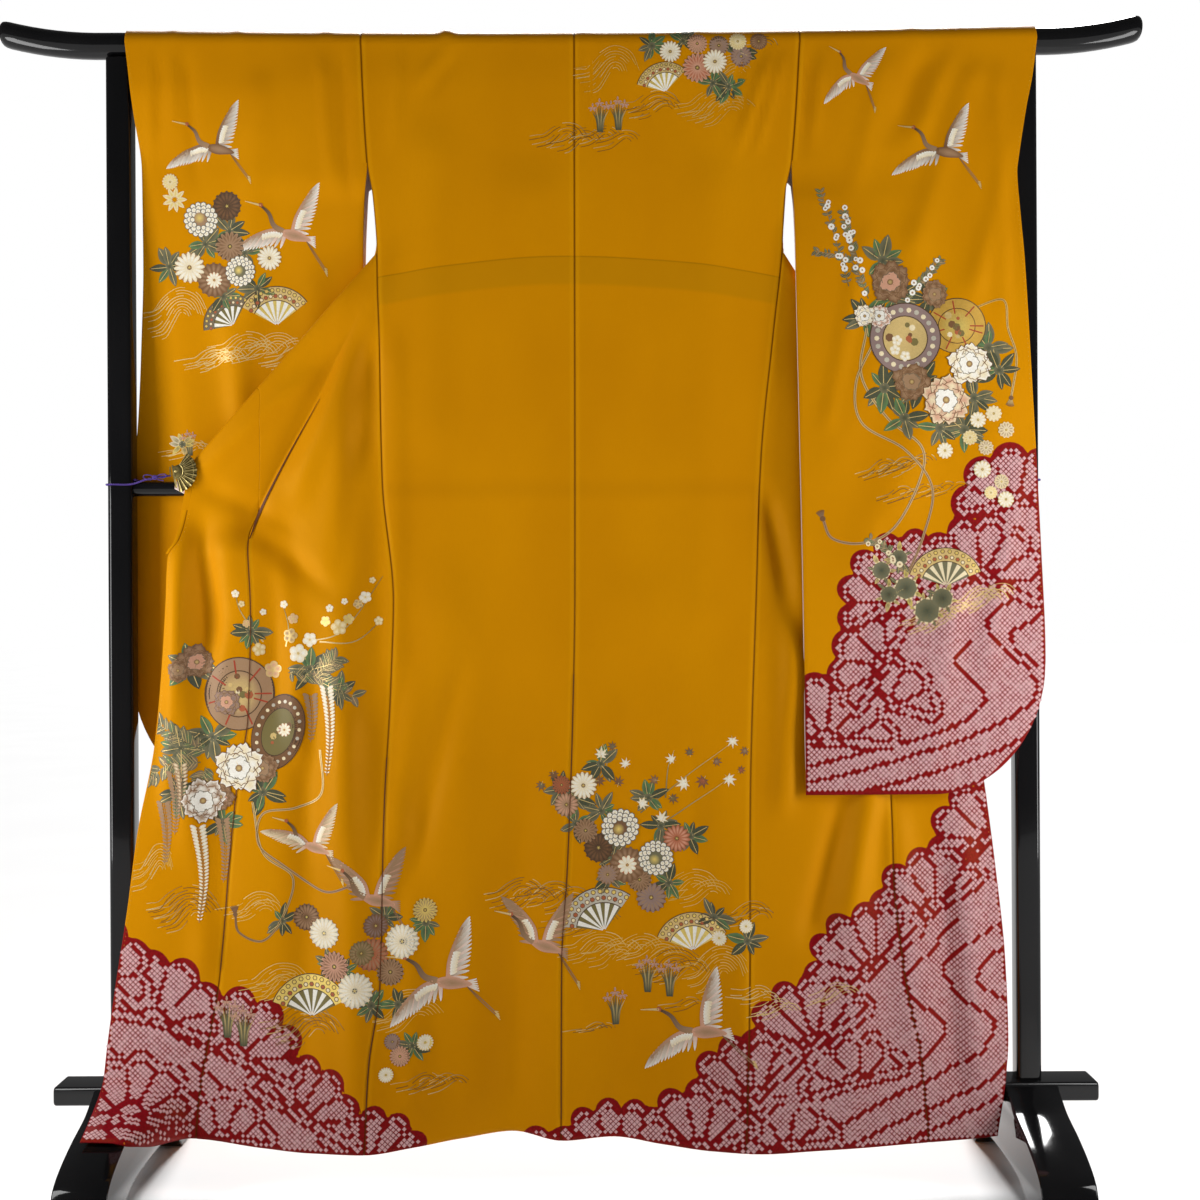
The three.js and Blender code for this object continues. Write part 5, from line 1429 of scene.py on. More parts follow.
def studTree():  # a small object on every point, turned to the point's two directions
    tree = Tree("studs", [("Stud", "NodeSocketObject"), ("Uneven", "NodeSocketFloat"),
                          ("Seed", "NodeSocketInt"), ("Finish", "NodeSocketMaterial")])
    stud = tree.node("GeometryNodeObjectInfo", values={"Object": tree.given("Stud")}, out="Geometry")
    facing = tree.node("GeometryNodeInputNamedAttribute", {"data_type": "FLOAT_VECTOR"}, {"Name": "facing"})
    along = tree.node("GeometryNodeInputNamedAttribute", {"data_type": "FLOAT_VECTOR"}, {"Name": "along"})
    turn = tree.node("FunctionNodeAxesToRotation", {"primary_axis": "Z", "secondary_axis": "X"},
                     {"Primary Axis": facing, "Secondary Axis": along})
    low = tree.node("ShaderNodeMath", {"operation": "SUBTRACT"}, {0: 1.0, 1: tree.given("Uneven")})
    high = tree.node("ShaderNodeMath", {"operation": "ADD"}, {0: 1.0, 1: tree.given("Uneven")})
    size = tree.node("FunctionNodeRandomValue", {"data_type": "FLOAT"},
                     {2: low, 3: high, "Seed": tree.given("Seed")}, 1)
    placed = tree.node("GeometryNodeInstanceOnPoints", values={
        "Points": tree.given("Geometry"), "Instance": stud, "Rotation": turn, "Scale": size})
    real = tree.node("GeometryNodeRealizeInstances", values={0: placed})
    done = tree.node("GeometryNodeSetMaterial", values={"Geometry": real, "Material": tree.given("Finish")})
    tree.group.links.new(done, tree.end.inputs[0])
    return tree.group


studs = studTree()


def normalAt(canvas, x, z):
    e = 1.5
    across = canvas["place"](x + e, z, 0.0) - canvas["place"](x - e, z, 0.0)
    up = canvas["place"](x, z + e, 0.0) - canvas["place"](x, z - e, 0.0)
    normal = np.cross(across, up)
    normal *= np.sign(normal[:, 1] * canvas["towards"])[:, None]
    return normal / np.linalg.norm(normal, axis=1, keepdims=True)


def studPiece(name, canvas, x, z, along, stud, uneven, seed):  # the stud on every place of the cloth
    places = canvas["place"](x, z, np.zeros(len(x))) * mm
    mesh = bpy.data.meshes.new(name)
    mesh.vertices.add(len(places))
    mesh.vertices.foreach_set("co", np.asarray(places, np.float32).ravel())
    for key, value in (("facing", normalAt(canvas, x, z)), ("along", along)):
        value = np.asarray(np.broadcast_to(value, places.shape), np.float32)
        mesh.attributes.new(key, "FLOAT_VECTOR", "POINT").data.foreach_set("vector", value.ravel())
    source = bpy.data.objects.new(name + "Points", mesh)
    bpy.context.scene.collection.objects.link(source)
    modifier = source.modifiers.new("studs", "NODES")
    modifier.node_group = studs
    inputs = {item.name: item.identifier for item in studs.interface.items_tree if item.in_out == "INPUT"}
    for label, value in (("Stud", stud), ("Uneven", float(uneven)), ("Seed", seed), ("Finish", ink)):
        modifier[inputs[label]] = value
    bpy.context.view_layer.update()
    made = bpy.data.meshes.new_from_object(source.evaluated_get(bpy.context.evaluated_depsgraph_get()))
    source.modifiers.clear()
    bpy.data.objects.remove(source)
    made.name = name
    for key in ("facing", "along"):
        if key in made.attributes:
            made.attributes.remove(made.attributes[key])
    addPiece(name, made)
    print(name, len(places), "studs,", sum(len(p.vertices) - 2 for p in made.polygons), "triangles")


def hillStud(name, foot, top, footTone, topTone):  # a flat-topped hill of four sides, to repeat
    faces = [(3, 2, 1, 0), (4, 5, 6, 7), (0, 1, 5, 4), (1, 2, 6, 5), (2, 3, 7, 6), (3, 0, 4, 7)]
    mesh = bpy.data.meshes.new(name)
    mesh.from_pydata([tuple(np.array(v) * mm) for v in [*foot, *top]], [], faces)
    keepValues(mesh, {"ink": [(*footTone, 0)] * 4 + [(*topTone, 0)] * 4})
    return bpy.data.objects.new(name, mesh)   # kept out of the scene


def tiedPad():  # one pinched point: a small square hill
    wide, narrow, high = dyeing["padFoot"], dyeing["padTop"], dyeing["padHigh"]
    corners = ((1, 0), (0, 1), (-1, 0), (0, -1))
    foot, top = ([(x * size, z * size, height) for x, z in corners]
                 for size, height in ((wide, -0.3), (narrow, high)))
    return hillStud("tiedPad", foot, top, dyeing["shade"], dyeing["point"])


def dots(name, canvas, low, high, allowed, pad, seed):
    x, z = tiedPoints(canvas["zone"], low, high)
    keep = allowed(x, z)
    studPiece(name, canvas, x[keep], z[keep], (1, 0, 0), pad, dyeing["uneven"], seed)


# the cloth pieces, each with what it was cut to

clothGrids = {}
for name, side in sides.items():
    clothGrids[f"back_{name}"] = (backPanel(side), (10, 20, -1), (True, True), "body")
    clothGrids[f"front_{name}"] = (frontGrid(side, "front"), (-10, 20, -1), (True, True), "body")
    clothGrids[f"okumi_{name}"] = (frontGrid(side, "okumi"), (-10, 8, -1), (True, False), "body")
    clothGrids[f"sleeve_{name}"] = (sleeveGrid(sleeves[name]), (20, 20, -1), (True, False), "sleeve")
collarBand = collarGrid()
clothGrids["collar"] = (collarBand, (len(collarBand) // 2, 5, 1), (True, False), None)
clothPieces = {}
for name, (grid, towards, sewn, dyed) in clothGrids.items():
    x, z = grid[..., 0], grid[..., 2]
    plain = dyed is None or name == "sleeve_left"
    zone = np.full(x.shape, -1.0) if plain else zoneDepth(dyed, x, z) * mm
    sewnAbove = cloth["armholeEnd"] if dyed == "sleeve" else 0
    skins = [backSilk if name.startswith("back") else silk, lining]
    piece = clothPiece(name, grid, skins, towards, {"zone": zone}, sewn, sewnAbove)
    clothPieces[name] = piece
    kind = name.split("_")[0]
    rests = "top_rail" if kind != "okumi" else clothPieces[name.replace("okumi", "front")]
    print(name, "made,", grid.shape[0], "by", grid.shape[1], "area", round(gridArea(grid), 4))


# the tied points, one field a piece

pad = tiedPad()


def onPart(low, high):  # between two of the body's seams
    edge = dyeing["fromSeam"]
    return lambda x, z: (x > low(z) + edge) & (x < high(z) - edge) & (z > hemHeight(x) + dyeing["fromHem"])


leftSide, rightSide = sides["left"], sides["right"]
bodyParts = {
    "okumi_left": (leftSide["frontEdge"], leftSide["okumiSeam"]),
    "front_left": (leftSide["okumiSeam"], leftSide["sideSeam"]),
    "back_left": (leftSide["sideSeam"], centreSeam), "back_right": (centreSeam, rightSide["sideSeam"]),
    "front_right": (rightSide["sideSeam"], rightSide["okumiSeam"]),
    "okumi_right": (rightSide["okumiSeam"], rightSide["frontEdge"]),
}
for seed, (name, (low, high)) in enumerate(bodyParts.items()):
    dots(name + "_dots", canvases["body"], (-710, 60), (650, 640), onPart(low, high), pad, seed + 1)


def onSleeve(x, z):
    sleeve = sleeves["right"]
    inner, outer = sleeveInner(sleeve, z), sleeve["outer"](z)
    edge = dyeing["fromSleeveSeam"]
    return (x > inner + edge) & (x < outer - edge) & (z > sleeveBottom(sleeve, x) + dyeing["fromSleeveHem"])


for seed, name in enumerate(("sleeveRight", "sleeveRightRear")):
    dots(name + "_dots", canvases[name], (330, 580), (700, 1160), onSleeve, pad, seed + 20)
print("tied points made")


# clips that hold the fronts open

clip = {
    "radius": 31.5, "hub": 11.5, "open": 138, "lean": -80, "ribs": 9, "out": 16, "down": 6,
    "valley": 0.9, "crest": 2.5, "jaw": 34,
}


def fanClip(name):
    side = sides[name]
    sign = side["sign"]
    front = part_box(f"fan_clip_{name}")[1][1] / mm
    pivotX, pivotZ = side["turnEnd"][0] + sign * clip["out"], side["turnEnd"][1] - clip["down"]

    def place(a, b, out):
        return points(pivotX - sign * np.asarray(a, float), front - np.asarray(out, float),
                      pivotZ + np.asarray(b, float))
    verts, faces, edge = [], [], []

    def addSolid(rings, marks):  # closed rings of points, capped at both ends
        rings = np.asarray(rings, float)
        count, around = rings.shape[:2]
        start = len(verts)
        verts.extend(rings.reshape(-1, 3))
        edge.extend(np.broadcast_to(marks, (count, around)).ravel())
        index = start + np.arange(count * around).reshape(count, around)
        faces.extend(quadFaces(np.concatenate([index, index[:, :1]], axis=1)).tolist())
        faces.extend([index[0].tolist(), index[-1][::-1].tolist()])
    turn = np.radians(np.linspace(clip["lean"], clip["lean"] + clip["open"], clip["ribs"] * 4 + 1))
    phase = np.arange(len(turn)) % 4
    up = np.array([0.0, 0.55, 1.0, 0.55])[phase]
    tip = np.array([-1.1, -0.2, 0.0, -0.2])[phase]
    rings = []
    for c, s, high, end in zip(np.cos(turn), np.sin(turn), up, tip):
        radii = np.array([clip["hub"] - 1, clip["hub"] + 3, 19, 25, clip["radius"] + end])
        depth = clip["valley"] + (clip["crest"] - clip["valley"]) * high * np.array([0.35, 0.8, 1, 1, 1])
        outer = place(radii * c, radii * s, depth)
        inner = place(radii[::-1] * c, radii[::-1] * s, 0.1)
        rings.append(np.concatenate([outer, inner]))
    addSolid(rings, np.where(up[:, None] > 0.9, 0.55, 0.0))
    hub = []
    for scale, out in ((1, 0.1), (1, 2.1), (0.93, 2.7), (0.6, 3.0)):  # the smooth plate round the pivot
        around = np.radians(np.linspace(clip["lean"] - 4, clip["lean"] + clip["open"] + 4, 30))
        a = np.concatenate([clip["hub"] * np.cos(around), [-3.5, -4.5]])
        b = np.concatenate([clip["hub"] * np.sin(around), [7, -7]])
        hub.append(place(1 + (a - 1) * scale, b * scale, out))
    addSolid(hub, 0.12)

    def bar(start, stop, wide, low, high, mark):
        start, stop = np.array(start, float), np.array(stop, float)
        ahead = (stop - start) / np.linalg.norm(stop - start)
        across = np.array([-ahead[1], ahead[0]])
        made = []
        for t in (0, 0.04, 0.5, 0.96, 1):
            size = 0.55 if t in (0, 1) else 1
            centre = start + (stop - start) * t
            ring = []
            for k in range(8):
                angle = 2 * math.pi * (k + 0.5) / 8
                spot = centre + across * wide / 2 * size * math.cos(angle)
                ring.append(place(*spot, (low + high) / 2 + (high - low) / 2 * size * math.sin(angle)))
            made.append(ring)
        addSolid(made, mark)
    for k in range(clip["ribs"] + 1):  # a bright wire along each fold
        angle = math.radians(clip["lean"] + clip["open"] * k / clip["ribs"])
        ray = np.array([math.cos(angle), math.sin(angle)])
        bar(ray * clip["hub"], ray * (clip["radius"] - 0.8), 0.8, 0.9, 2.1, 1.0)
    for radius, wide in ((clip["hub"] - 0.3, 1.1), (clip["radius"] - 4.6, 0.5)):
        arc = np.radians(np.linspace(clip["lean"], clip["lean"] + clip["open"], 24))
        around = np.linspace(0, 2 * math.pi, 8, endpoint=False)
        made = []
        for angle in arc:
            c, s = math.cos(angle), math.sin(angle)
            made.append([place((radius + wide / 2 * math.cos(t)) * c, (radius + wide / 2 * math.cos(t)) * s,
                               2.7 + 0.5 * math.sin(t)) for t in around])
        addSolid(made, 0.9)
    bar((-4.6, 9), (1.2, 9 - clip["jaw"]), 3.2, 0.2, 3.4, 0.45)   # the jaw
    bar((-8.2, 6.5), (-7.6, -6.5), 2.2, 0.2, 2.6, 0.2)            # the spring behind it
    around = np.linspace(0, 2 * math.pi, 14, endpoint=False)
    dome = [[place(0.5 + r * math.cos(t), r * math.sin(t), out) for t in around]
            for r, out in ((2.6, 2.6), (2.5, 3.4), (1.9, 4.0), (0.8, 4.3))]
    addSolid(dome, 0.7)
    node = f"fan_clip_{name}"
    solidPiece(node + "_bronze", np.array(verts), faces, bronze, node, {"edge": edge})


def solidPiece(name, verts, faces, material, node, values=None, angle=38):
    mesh = bpy.data.meshes.new(name)
    mesh.from_pydata((verts * mm).tolist(), [], faces)
    mesh.materials.append(material)
    keepValues(mesh, values)
    tidy = bmesh.new()
    tidy.from_mesh(mesh)
    bmesh.ops.recalc_face_normals(tidy, faces=tidy.faces)
    tidy.to_mesh(mesh)
    tidy.free()
    mesh.shade_smooth()
    mesh.set_sharp_from_angle(angle=math.radians(angle))
    return addPiece(name, mesh, node)


for name in sides:
    fanClip(name)


# cords from the clips to the posts

cord = {
    "strand": 0.9, "apart": 0.75, "twist": 7.0, "height": 1044,
    "bowAt": 24, "loop": 15, "tail": 13,  # the bow: how far from the clip, and its size
}


def smoothRoute(route, count):  # a centripetal curve through the route's points
    route = np.asarray(route, float)
    ends = np.vstack([2 * route[0] - route[1], route, 2 * route[-1] - route[-2]])
    out = []
    for i in range(len(route) - 1):
        p = ends[i:i + 4]
        t = np.concatenate([[0], np.cumsum(np.linalg.norm(np.diff(p, axis=0), axis=1) ** 0.5)])
        for at in np.linspace(t[1], t[2], count, endpoint=False):
            a = [(p[k] * (t[k + 1] - at) + p[k + 1] * (at - t[k])) / (t[k + 1] - t[k]) for k in range(3)]
            b = [(a[k] * (t[k + 2] - at) + a[k + 1] * (at - t[k])) / (t[k + 2] - t[k]) for k in range(2)]
            out.append((b[0] * (t[2] - at) + b[1] * (at - t[1])) / (t[2] - t[1]))
    out.append(route[-1])
    line = np.array(out)
    far = np.concatenate([[0], np.cumsum(np.linalg.norm(np.diff(line, axis=0), axis=1))])
    even = np.linspace(0, far[-1], max(8, int(far[-1] / 0.9)))
    return np.stack([np.interp(even, far, line[:, k]) for k in range(3)], axis=1)


def tube(line, radius, sides=7, apart=0.0, twist=1.0, phase=0.0, flat=1.0):
    ahead = np.gradient(line, axis=0)
    ahead /= np.linalg.norm(ahead, axis=1, keepdims=True)
    far = np.concatenate([[0], np.cumsum(np.linalg.norm(np.diff(line, axis=0), axis=1))])
    across = np.cross(ahead[0], [0, 0, 1.0] if abs(ahead[0][2]) < 0.9 else [1.0, 0, 0])
    radius = np.broadcast_to(radius, len(line))
    rings = []
    for k, (here, along) in enumerate(zip(line, ahead)):
        across = across - along * (across @ along)
        across /= np.linalg.norm(across)
        up = np.cross(along, across)
        spin = far[k] / twist * 2 * math.pi + phase
        centre = here + apart * (math.cos(spin) * across + math.sin(spin) * up)
        turn = np.linspace(0, 2 * math.pi, sides, endpoint=False)
        circle = np.outer(np.cos(turn), across) + flat * np.outer(np.sin(turn), up)
        rings.append(centre + radius[k] * circle)
    return np.array(rings)


def joinRings(groups):
    verts, faces = [], []
    for rings in groups:
        count, around = rings.shape[:2]
        index = len(verts) + np.arange(count * around).reshape(count, around)
        verts.extend(rings.reshape(-1, 3))
        faces.extend(quadFaces(np.concatenate([index, index[:, :1]], axis=1)).tolist())
        faces.extend([index[0].tolist(), index[-1][::-1].tolist()])
    return np.array(verts), faces


def tieCord(name):
    side = sides[name]
    sign, (turnX, turnZ) = side["sign"], side["turnEnd"]
    reach, joint = cord["strand"] + cord["apart"], 0.3
    half = stand["postSize"] / 2 + reach + 2 * joint
    flat = stand["postSize"] / 2 - stand["postCorner"]
    bend = flat + (half - flat) * math.sqrt(0.5)
    px, height = sign * stand["postReach"], cord["height"]
    over = stand["bridgeHeight"] + stand["bridgeRadius"] + reach + 2 * joint
    start = np.array([turnX + sign * 24, hangDepth(turnX, turnZ) - 3, turnZ - 12])
    post = [(-bend, -half, height), (flat, -half, height), (bend, -bend, height), (half, -flat, height),
            (half, flat, height + 1), (bend, bend, height + 2), (flat, half, height + 3), (-flat, half, over),
            (-bend, bend, over), (-half, flat, over), (-half, -flat, over)]
    route = [start, (lerp(start[0], px, 0.45), -26, height + 7)] + [(px + sign * a, b, c) for a, b, c in post]
    line = smoothRoute(route, 12)
    strands = [tube(line, cord["strand"], 7, cord["apart"], cord["twist"], phase) for phase in (0, math.pi)]
    verts, faces = joinRings(strands)
    piece = solidPiece(f"tie_cord_{name}_braid", verts, faces, braid, f"tie_cord_{name}", angle=60)
    knot = line[int(cord["bowAt"] / 0.9)] + [0, -2.6, 0]
    parts = []
    for way in (-1, 1):
        loop, tail = cord["loop"], cord["tail"]
        path = [(0, 0, 0), (0.45 * loop, -1.5, 3.4), (0.95 * loop, -2, 3.6), (1.12 * loop, -2.2, 0.8),
                (0.9 * loop, -1.4, -1.8), (0.4 * loop, -0.6, -1.2), (0, -0.4, 0)]
        if way > 0:
            path = [(a * 1.05, b, c * 0.9 + 1.6 * a / loop) for a, b, c in path]
        parts.append(tube(smoothRoute([knot + [way * a, b, c] for a, b, c in path], 8), 1.15, 6, flat=0.7))
        ends = [(0, -0.5, 0), (way * 0.4 * tail, -1.6, -3.2), (way * tail, -1.2, -3.8 - way)]
        parts.append(tube(smoothRoute([knot + np.array(e) for e in ends], 8), 1.0, 6, flat=0.8))
    ring = np.array([(1.7 * math.cos(t), -0.4, 2.4 * math.sin(t)) for t in np.linspace(0, 2 * math.pi, 15)])
    for shift in (-0.9, 0.9):
        parts.append(tube(knot + ring + [shift, -1.0, 0], 1.25, 7))
    bowVerts, bowFaces = joinRings(parts)
    bow = solidPiece(f"cord_bow_{name}", bowVerts, bowFaces, braid, None, angle=60)


for name in sides:
    tieCord(name)


# stitches along the free edges

stitching = {
    # from one stitch to the next, and how far inside the edges
    "pitch": 6.5, "sleeveIn": 3.2, "okumiIn": 3.4,
    "foot": (0.9, 0.28), "top": (0.55, 0.16), "low": -0.2, "high": 0.32, "uneven": 0.2,
    "shade": (0.30, 0.11, 0.001), "thread": (0.86, 0.50, 0.06),
}


def stitchHill():
    corners = ((-1, -1), (1, -1), (1, 1), (-1, 1))
    foot, top = ([(a * stitching[part][0], b * stitching[part][1], stitching[height]) for a, b in corners]
                 for part, height in (("foot", "low"), ("top", "high")))
    return hillStud("stitch", foot, top, stitching["shade"], stitching["thread"])


stitch = stitchHill()


def stitchRow(name, canvas, x, z, seed):
    ahead = np.gradient(np.stack([x, np.zeros(len(x)), z], axis=1), axis=0)
    studPiece(name, canvas, x, z, ahead, stitch, stitching["uneven"], seed)


for name, inward in (("left", 1), ("right", -1)):
    sleeve, edge = sleeves[name], sides[name]["frontEdge"]
    heights = np.arange(sleeve["bottom"] + sleeve["corner"][1] + 10, 1690, stitching["pitch"])
    line = sleeve["outer"](heights) + inward * stitching["sleeveIn"]
    stitchRow(f"sleeve_{name}_stitches", canvases["sleeve" + name.title()], line, heights, 3)
    heights = np.arange(hemHeight(edge(80)) + 14, 1000, stitching["pitch"])
    stitchRow(f"okumi_{name}_stitches", canvases["body"], edge(heights) + inward * stitching["okumiIn"],
              heights, 5)
print("stitches made")


# the painting, group by group

def waves(b, rows, turn=0):
    for x, z, width, high, lines, colour in rows:
        waveHill(b.move(x, z, turn, lift=-0.2), width, high, lines, colour)


def bunches(b, places, length, seed, turn=20, count=8, radius=3):  # leaves behind the flowers
    for k, (x, z) in enumerate(places):
        leafBunch(b.move(x, z, turn * k), count, radius, length, k + seed)


def mums(b, rows, turn, lift, step, petals=18):  # a seventh value makes the flower double
    for k, (x, z, radius, petal, tip, back, *double) in enumerate(rows):
        b.move(x, z, turn * k, lift=lift + step * k)
        chrysanthemum(b, radius, petal, tip, "gold", back, petals, bool(double))


def peonies(b, rows, turn, lift, seed):
    for k, (x, z, radius, outer, edge, inner) in enumerate(rows):
        peony(b.move(x, z, turn * k, lift=lift + 0.1 * k), radius, outer, edge, inner, k + seed)


def cranes(b, rows):
    for x, z, size, turn, raised, feather in rows:
        crane(b.move(x, z, turn, lift=0.1), size, "taupe", feather, "rose", raised)


def irises(b, places, height, lift=0.1):
    for x, z in places:
        irisPlant(b.move(x, z, 0, lift=lift), height)


def paintSleeveLeft():
    b = Brush()
    crane(b.move(-525, 1541, 4), 96)
    crane(b.move(-415, 1414), 106, "taupe", "white", "rose")
    waves(b, [(*row, "paleGold") for row in ((-584, 1296, 92, 44, 12), (-463, 1247, 130, 26, 7),
                                             (-522, 1231, 90, 20, 5), (-566, 1098, 60, 16, 5),
                                             (-409, 1237, 70, 26, 6))])
    foldingFan(b.move(-507, 1282, 34, lift=-0.1), 46, 128, "olive", "ash")
    foldingFan(b.move(-442, 1282, 4), 58, 116, "gold", "paleGold")
    bunches(b, [(-510, 1421), (-547, 1403), (-469, 1336), (-602, 1371), (-522, 1326), (-488, 1388)], 25, 3)
    for k in range(9):
        leaf(b.move(-592, 1469, 40 * k), 3, 0, 16, 0, "gold", "cream")
    mums(b, [(-513, 1458, 22, "brown", "darkBrown", "darkBrown"),
             (-510, 1399, 22, "brown", "taupe", "darkBrown"), (-535, 1350, 26, "taupe", "brown", "brown"),
             (-553, 1439, 25, "cream", "white", "taupe", "double"),
             (-572, 1369, 23, "white", "cream", "taupe"),
             (-495, 1362, 22, "cream", "white", "greyLeaf", "double"),
             (-451, 1381, 18, "white", "cream", "taupe"),
             (-598, 1495, 12, "gold", "cream", "paleGold")], 12, 0.1, 0.05, 16)
    chrysanthemum(b.move(-535, 1350, 0, lift=0.5), 12, "white", "cream", "gold", "rust", 12)
    irisPlant(b.move(-575, 1089, 6), 36)
    leafBunch(b.move(-587, 1106, 20, lift=0.1), 9, 3, 17, 5, ("gold", "cream", "paleGold"))
    painted("sleeve_left_print", b, canvases["sleeveLeft"])


def paintBackTop(b):
    waves(b, [(66, 1649, 84, 40, 9, "waveGold"), (134, 1599, 78, 24, 7, "wave"),
              (228, 1596, 112, 30, 9, "waveGold"), (36, 1553, 168, 22, 8, "wave"),
              (243, 1652, 60, 22, 7, "waveGold"), (290, 1685, 40, 16, 5, "wave")])
    foldingFan(b.move(140, 1620, 16, lift=-0.05), 44, 118, "gold", "paleGold")
    bunches(b, [(120, 1688), (166, 1695), (210, 1632), (233, 1627), (249, 1679)], 21, 13, 25)
    mums(b, [(252, 1672, 16, "taupe", "mauve", "brown"), (187, 1691, 15, "taupe", "rose", "brown"),
             (278, 1694, 13, "taupe", "brown", "brown"), (219, 1688, 15, "mauve", "taupe", "darkBrown"),
             (187, 1655, 22, "rust", "rose", "brown"), (213, 1664, 18, "white", "cream", "taupe"),
             (147, 1679, 16, "white", "cream", "taupe"),
             (247, 1694, 13, "gold", "cream", "paleGold")], 17, 0.1, 0.05)
    irises(b, ((43, 1561), (70, 1564)), 46, 0.0)


def paintPage(b):
    waves(b, [(-560, 421, 96, 34, 9, "wave"), (-607, 476, 50, 40, 12, "waveGold"),
              (-423, 311, 90, 30, 7, "waveGold"), (-384, 250, 124, 34, 13, "wave"),
              (-234, 270, 100, 34, 9, "waveGold"), (-196, 167, 100, 16, 5, "wave"),
              (-457, 421, 70, 24, 6, "waveGold")])
    for k, (x, z, turn, size) in enumerate(((-563, 778, 40, 20), (-531, 671, 10, 20), (-387, 769, -30, 19),
                                            (-575, 656, 75, 20), (-578, 590, 80, 20), (-457, 590, 0, 18),
                                            (-343, 737, -60, 15), (-475, 825, 60, 15), (-516, 546, 130, 16))):
        leafBunch(b.move(x, z, turn), 9, 3, size * 1.6, k + 23)
    b.move(0, 0, lift=0.05)
    for k, path in enumerate(([(-419, 765), (-375, 756), (-324, 731)], [(-378, 756), (-349, 785)],
                              [(-542, 649), (-607, 690)], [(-548, 634), (-592, 631), (-622, 612)],
                              [(-541, 627), (-554, 575)])):
        clover(b, path, k + 60, "taupe", 13, 22, 0)
    b.move(0, 0)
    for path in ([(-387, 810), (-335, 828), (-281, 906)], [(-372, 810), (-321, 810), (-281, 843)],
                 [(-457, 810), (-489, 854), (-498, 887)], [(-423, 803), (-419, 832), (-428, 866)]):
        b.line(flow(path, 14), [2.2 - 0.12 * k for k in range(14)], "paleGold", "olive")
    for k, (x, z, radius, colour) in enumerate((
            (-497, 881, 6, "white"), (-488, 866, 5, "cream"), (-426, 865, 6, "white"),
            (-357, 859, 6, "white"), (-306, 875, 9, "white"), (-296, 900, 5, "cream"),
            (-287, 840, 7, "cream"), (-316, 865, 7, "taupe"), (-416, 819, 11, "taupe"),
            (-412, 844, 8, "rose"), (-387, 813, 11, "white"), (-404, 793, 14, "white"),
            (-343, 831, 12, "cream"), (-363, 840, 8, "gold"), (-329, 843, 8, "gold"),
            (-463, 799, 10, "cream"), (-481, 837, 6, "rose"), (-443, 769, 13, "rose"),
            (-457, 854, 5, "white"), (-335, 869, 5, "white"))):
        rim = "paleGold" if colour != "white" else "cream"
        plumBlossom(b.move(x, z, 25 * k, lift=0.1), radius, colour, rim)
    b.move(0, 0, lift=0.05)
    cordLoop(b, [(-372, 652), (-369, 590), (-407, 567), (-457, 558), (-463, 514), (-428, 484), (-369, 446),
                 (-325, 455)], 3.4)
    cordLoop(b, [(-472, 575), (-457, 502), (-413, 465), (-428, 407), (-457, 373), (-492, 385),
                 (-498, 411)], 3.2, "paleGold", "brown")
    drum(b.move(-492, 734, 0, lift=0.1), 50, 1.05, "taupe", "paleGold", True)
    drum(b.move(-434, 678, -18, lift=0.35), 37, 1.5, "brown", "olive")
    chrysanthemum(b.move(-425, 681, 0, lift=0.6), 10, "white", "cream", "gold", "rust", 10)
    for x, z, length, colour in ((-362, 743, 128, "white"), (-551, 540, 140, "white"),
                                 (-601, 575, 90, "taupe"), (-517, 549, 92, "taupe"), (-387, 731, 68, "taupe"),
                                 (-576, 631, 64, "cream"), (-586, 619, 90, "taupe")):
        wisteria(b.move(x, z, 0, lift=0.3), length, colour, "taupe" if colour != "white" else "cream")
    peonies(b, [(-554, 781, 25, "taupe", "brown", "rose"), (-578, 769, 17, "brown", "taupe", "taupe"),
                (-510, 722, 20, "taupe", "mauve", "rose"), (-457, 625, 22, "brown", "taupe", "taupe"),
                (-519, 583, 20, "taupe", "brown", "rose"), (-492, 625, 36, "cream", "white", "white"),
                (-544, 578, 32, "taupe", "white", "white")], 30, 0.6, 0)
    cranes(b, ((-381, 509, 94, 0, 35, "cream"), (-290, 433, 108, 0, 66, "taupe"),
               (-184, 311, 124, 12, -10, "white")))
    foldingFan(b.move(-384, 264, 4, lift=-0.05), 62, 132, "olive", "gold")
    bunches(b, [(-428, 402), (-335, 333), (-277, 407), (-258, 282), (-296, 282), (-357, 341), (-237, 223),
                (-218, 399)], 21, 43)
    mums(b, [(-393, 407, 20, "taupe", "brown", "darkBrown"), (-350, 338, 22, "brown", "rose", "darkBrown"),
             (-296, 355, 24, "taupe", "rust", "brown"), (-269, 329, 20, "brown", "taupe", "darkBrown"),
             (-310, 358, 18, "taupe", "olive", "brown"), (-219, 417, 18, "taupe", "gold", "brown"),
             (-290, 396, 18, "mauve", "brown", "brown"), (-255, 208, 15, "taupe", "rose", "brown"),
             (-266, 229, 12, "taupe", "mauve", "brown"), (-366, 385, 23, "white", "cream", "silver"),
             (-252, 373, 25, "white", "cream", "silver"), (-319, 305, 26, "white", "cream", "silver"),
             (-219, 226, 12, "white", "cream", "gold"),
             (-275, 182, 11, "white", "cream", "gold")], 11, 0.15, 0.04)
    irises(b, ((-509, 232), (-485, 220)), 56)


